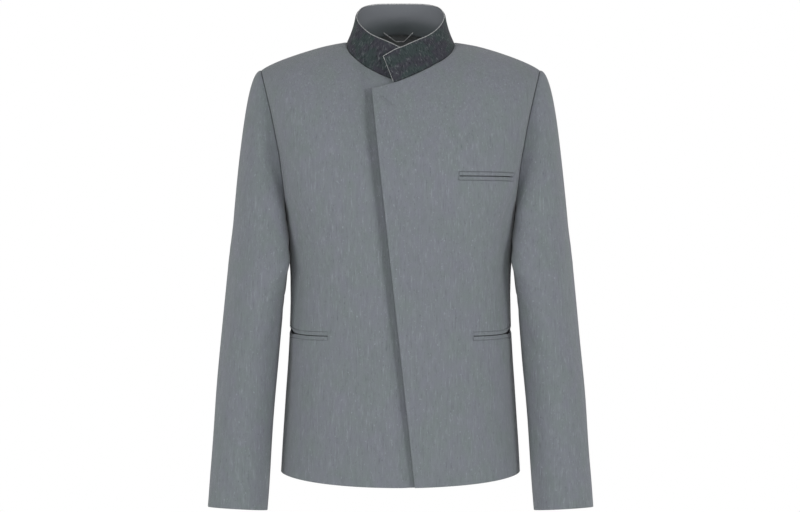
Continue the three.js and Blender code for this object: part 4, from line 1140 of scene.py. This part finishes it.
WOOL_GREY = (0.178, 0.1965, 0.2145)
WOOL_GREEN = (0.171, 0.200, 0.204)
WOOL_BLUE = (0.183, 0.1935, 0.226)
WOOL_PALE = (0.275, 0.300, 0.325)
WOOL_DARK = (0.100, 0.114, 0.127)
COLLAR_BASE = (0.035, 0.049, 0.050)
COLLAR_BLACK = (0.013, 0.017, 0.018)
COLLAR_PALE = (0.140, 0.158, 0.162)
COLLAR_TINT = (0.040, 0.040, 0.052)
# The facing's colour with painted shade: lit at the top, and shaded low down near the neck seam, where
# the collar shades it
FACING_LIT_TOP = (0.166, 0.177, 0.194)
FACING_SHADED_LOW = (0.088, 0.103, 0.109)
FACING_SHADE_FADE = (10, 34)  # heights over the neck seam between which it pales
# Near black: the pocket backing's dark lining colour with the shade inside the pocket painted in
POCKET_LINING_AND_SHADE = (0.012, 0.013, 0.014), (0.020, 0.022, 0.023)
NECK_CLOTH = (0.155, 0.165, 0.165), (0.185, 0.195, 0.200)
TRIM = (0.240, 0.250, 0.255), (0.560, 0.570, 0.575)

# The wool's cloudy noises: size of a spot across and up, detail and roughness
WOOL_NOISES = {
    "patches": (32, 44, 3, 0.5),
    "shades": (11, 16, 2, 0.5),
    "clouds": (6, 22, 3, 0.6),
    "slubs": (1.9, 19, 3, 0.6),
    "flecks": (2.1, 3.4, 1, 0.5),
}
# How they tone it: the values where a tone starts and is full, its strength there, and the tone
WOOL_TONES = (
    ("clouds", 0.52, 0.75, 0.2, WOOL_PALE),
    ("clouds", 0.48, 0.25, 0.2, WOOL_DARK),
    ("slubs", 0.56, 0.76, 0.65, WOOL_PALE),
    ("slubs", 0.44, 0.24, 0.55, WOOL_DARK),
    ("flecks", 0.67, 0.8, 0.85, WOOL_PALE),
    ("flecks", 0.34, 0.2, 0.6, WOOL_DARK),
)


class Cloth:
    """The nodes of one cloth. Sizes in them are in millimetres."""

    def __init__(self, name, roughness, specular, sheen):
        self.material = bpy.data.materials.new(name)
        self.material.use_nodes = True
        self.tree = self.material.node_tree
        self.shader = self.tree.nodes["Principled BSDF"]
        self.shader.inputs["Roughness"].default_value = roughness
        self.shader.inputs["Specular IOR Level"].default_value = specular
        self.shader.inputs["Sheen Weight"].default_value = sheen
        self.place = self.node("ShaderNodeAttribute", attribute_name="cloth_place").outputs["Vector"]
        self.form = self.node("ShaderNodeTexCoord").outputs["Object"]

    def node(self, kind, inputs=None, **settings):
        made = self.tree.nodes.new(kind)
        for key, value in settings.items():
            setattr(made, key, value)
        for key, value in (inputs or {}).items():
            if isinstance(value, bpy.types.NodeSocket):
                self.tree.links.new(value, made.inputs[key])
            else:
                made.inputs[key].default_value = value
        return made

    def mapped(self, vector, scale=(1, 1, 1), turn=0):
        inputs = {"Vector": vector, "Scale": scale, "Rotation": (0, 0, math.radians(turn))}
        return self.node("ShaderNodeMapping", inputs).outputs["Vector"]

    def scaled(self, across, upward, turn):
        """The place on the cloth, turned and then measured in cells of that size."""
        return self.mapped(self.mapped(self.place, turn=turn), (1 / across, 1 / upward, 1))

    def noise_in(self, cells, detail, roughness):
        inputs = {"Vector": cells, "Scale": 1.0, "Detail": detail, "Roughness": roughness}
        return self.node("ShaderNodeTexNoise", inputs).outputs["Fac"]

    def noise(self, across, upward, detail=2.0, roughness=0.5, turn=0):
        """Cloudy noise on the cloth with spots of that size."""
        return self.noise_in(self.scaled(across, upward, turn), detail, roughness)

    def hanging(self, across, upward, detail, roughness):
        """Cloudy noise with spots of that size that always hang straight down."""
        size = (1 / across / MM, 1 / across / MM, 1 / upward / MM)
        return self.noise_in(self.mapped(self.form, size), detail, roughness)

    def wave(self, size, turn):
        """Even ridges, 0.63 of that size apart."""
        inputs = {"Vector": self.scaled(size, size, turn), "Scale": 0.5}
        return self.node("ShaderNodeTexWave", inputs, wave_type="BANDS").outputs["Fac"]

    def between(self, value, low, high, start=0.0, end=1.0):
        """A value's way from low to high as a share from start to end."""
        inputs = {"Value": value, "From Min": low, "From Max": high, "To Min": start, "To Max": end}
        return self.node("ShaderNodeMapRange", inputs, interpolation_type="SMOOTHSTEP").outputs["Result"]

    def total(self, *parts):
        """The sum of values, each times its weight."""
        total = 0.0
        for value, weight in parts:
            inputs = {0: value, 1: weight, 2: total}
            total = self.node("ShaderNodeMath", inputs, operation="MULTIPLY_ADD").outputs[0]
        return total

    def blend(self, share, first, second):
        """One colour passing into another."""
        first, second = (c if isinstance(c, bpy.types.NodeSocket) else (*c, 1) for c in (first, second))
        inputs = {"Factor": share, 6: first, 7: second}
        return self.node("ShaderNodeMix", inputs, data_type="RGBA").outputs[2]

    def finish(self, colour, height, depth):
        """Gives the shader its colour and the relief of its weave."""
        self.tree.links.new(colour, self.shader.inputs["Base Color"])
        bump = self.node("ShaderNodeBump", {"Height": height, "Strength": 1.0, "Distance": depth * MM})
        self.tree.links.new(bump.outputs["Normal"], self.shader.inputs["Normal"])
        return self.material


def wool():
    """Mid grey wool: a fine weave with upright slubs and a faint mottling of its colour."""
    cloth = Cloth("wool", roughness=0.9, specular=0.25, sheen=0.2)
    noises = {name: cloth.hanging(*size) for name, size in WOOL_NOISES.items()}
    colour = cloth.blend(cloth.between(noises["patches"], 0.38, 0.62), WOOL_GREEN, WOOL_BLUE)
    colour = cloth.blend(cloth.between(noises["shades"], 0.35, 0.65, 0.2, 0.8), colour, WOOL_GREY)
    for name, low, high, strength, tone in WOOL_TONES:
        colour = cloth.blend(cloth.between(noises[name], low, high, 0, strength), colour, tone)
    twill, grain = cloth.wave(0.9, turn=58), cloth.noise(0.7, 0.9)
    relief = cloth.total((twill, 0.5), (noises["slubs"], 1.0), (grain, 0.6))
    return cloth.finish(colour, relief, depth=0.2)


def collar_wool():
    """Dark rough wool with broken upright flecks in chevron rows, denser here and there."""
    cloth = Cloth("collar_wool", roughness=0.95, specular=0.2, sheen=0.1)
    colour = cloth.blend(cloth.between(cloth.noise(20, 24), 0.42, 0.58), COLLAR_BASE, COLLAR_TINT)
    left, right = (cloth.noise(1.7, 8, detail=3, roughness=0.7, turn=turn) for turn in (12, -12))
    rows = cloth.between(cloth.wave(9, turn=0), 0.45, 0.55)
    threads = {"Factor": rows, 2: left, 3: right}
    flecks = cloth.node("ShaderNodeMix", threads, data_type="FLOAT").outputs[0]
    dense = cloth.between(cloth.noise(10, 13), 0.4, 0.62, 0.15, 1.0)
    colour = cloth.blend(cloth.between(flecks, 0.52, 0.68, 0, dense), colour, COLLAR_PALE)
    colour = cloth.blend(cloth.between(flecks, 0.47, 0.34, 0, 0.8), colour, COLLAR_BLACK)
    nubs = cloth.noise(2.2, 2.6)
    return cloth.finish(colour, cloth.total((flecks, 1.6), (nubs, 1.0)), depth=0.6)


def facing_wool():
    """The smooth grey inside of the collar, with painted shade that deepens towards the neck."""
    cloth = Cloth("facing_wool", roughness=0.8, specular=0.3, sheen=0.1)
    height = cloth.node("ShaderNodeSeparateXYZ", {"Vector": cloth.place}).outputs["Y"]
    uneven = cloth.total((height, 1.0), (cloth.noise(22, 9, detail=3), 9.0))
    # Painted shade: the facing darkens from its top down towards the neck seam
    colour = cloth.blend(cloth.between(uneven, *FACING_SHADE_FADE), FACING_SHADED_LOW, FACING_LIT_TOP)
    weave = cloth.total((cloth.wave(0.8, turn=45), 1.0), (cloth.noise(0.8, 3, detail=1), 1.0))
    return cloth.finish(colour, weave, depth=0.08)


def lining_cloth(name, dark, light):
    """Lining with a soft sheen and a fine twill."""
    cloth = Cloth(name, roughness=0.55, specular=0.4, sheen=0.05)
    colour = cloth.blend(cloth.noise(12, 16), dark, light)
    return cloth.finish(colour, cloth.wave(0.7, turn=40), depth=0.05)


def trim_cloth():
    """Pale grey cord and tape with the rib of its weave."""
    cloth = Cloth("trim_cloth", roughness=0.75, specular=0.3, sheen=0.1)
    colour = cloth.blend(cloth.between(cloth.noise(1.5, 3), 0.35, 0.65), *TRIM)
    return cloth.finish(colour, cloth.wave(0.9, turn=70), depth=0.12)


# Camera, light and floor

LENS_MM, SENSOR_MM = 85, 36
CAMERA_AT = (-0.00075, -2.833, -0.3195)
FLOOR_LEVEL = -1.2
FLOOR_RADIUS = 3.4
FLOOR_SIDES = 96
FLOOR_COLOUR = (0.82, 0.82, 0.81, 1)
FLOOR_ROUGHNESS = 0.8
SKY_LIGHT = 0.5
CENTRE = (0, 0, -0.33)
# Lamps, all turned to the centre: place, size and power
LAMPS = {
    "key": ((2.4, -2.0, 0.0), 1.0, 28),
    "fill": ((-2.4, -2.1, -0.1), 1.4, 29),
    "front": ((0.3, -3.2, 0.0), 0.9, 14),
    "back": ((0.0, 3.0, 1.0), 2.0, 20),
}


def add_camera():
    data = bpy.data.cameras.new("camera")
    data.lens, data.sensor_width = LENS_MM, SENSOR_MM
    camera = bpy.data.objects.new("camera", data)
    camera.location, camera.rotation_euler = CAMERA_AT, (math.pi / 2, 0, 0)
    bpy.context.scene.collection.objects.link(camera)
    bpy.context.scene.camera = camera


def add_lamp(name, at, size, power):
    """A large soft lamp."""
    data = bpy.data.lights.new(name, "AREA")
    data.shape, data.size, data.energy = "DISK", size, power
    lamp = bpy.data.objects.new(name, data)
    lamp.location = at
    direction = Vector(CENTRE) - Vector(at)
    lamp.rotation_euler = direction.to_track_quat("-Z", "Y").to_euler()
    bpy.context.scene.collection.objects.link(lamp)


def add_floor(material):
    turn = np.arange(FLOOR_SIDES) * 2 * math.pi / FLOOR_SIDES
    level = np.full(turn.shape, FLOOR_LEVEL)
    points = np.stack([FLOOR_RADIUS * np.cos(turn), FLOOR_RADIUS * np.sin(turn), level], -1)
    mesh = bpy.data.meshes.new("floor")
    mesh.from_pydata(points.tolist(), [], [list(range(FLOOR_SIDES))])
    mesh.materials.append(material)
    floor = bpy.data.objects.new("floor", mesh)
    bpy.context.scene.collection.objects.link(floor)


def floor_material():
    made = bpy.data.materials.new("floor")
    made.use_nodes = True
    shader = made.node_tree.nodes["Principled BSDF"]
    shader.inputs["Base Color"].default_value = FLOOR_COLOUR
    shader.inputs["Roughness"].default_value = FLOOR_ROUGHNESS
    return made


def add_world():
    """White behind the jacket, and a weaker even light on it."""
    world = bpy.data.worlds.new("studio")
    world.use_nodes = True
    nodes, links = world.node_tree.nodes, world.node_tree.links
    background = nodes["Background"]
    background.inputs["Color"].default_value = (1, 1, 1, 1)
    path = nodes.new("ShaderNodeLightPath")
    strength = nodes.new("ShaderNodeMapRange")
    strength.inputs["To Min"].default_value = SKY_LIGHT
    strength.inputs["To Max"].default_value = 1.0
    links.new(path.outputs["Is Camera Ray"], strength.inputs["Value"])
    links.new(strength.outputs["Result"], background.inputs["Strength"])
    bpy.context.scene.world = world
    bpy.context.scene.view_settings.view_transform = "Standard"
    bpy.context.scene.view_settings.look = "None"


def build():
    cloths = {
        "wool": ("wool_grey", wool()),
        "collar": ("wool_dark", collar_wool()),
        "facing": ("facing_grey", facing_wool()),
        "lining": ("lining_dark", lining_cloth("pocket_lining", *POCKET_LINING_AND_SHADE)),
        "neck": ("lining_dark", lining_cloth("neck_cloth", *NECK_CLOTH)),
        "trim": ("trim_pale", trim_cloth()),
    }
    for side in (1, -1):
        front_piece(side, cloths)
        back_piece(side, cloths)
        seam = sleeve_seam_turn(side)
        sleeve_piece("upper", side, (0, seam), cloths)
        sleeve_piece("under", side, (seam, 360), cloths)
    collar_pieces(cloths)
    lining_piece(cloths)
    loop_piece(cloths)


build()
add_camera()
add_world()
add_floor(floor_material())
for name, lamp in LAMPS.items():
    add_lamp(name, *lamp)
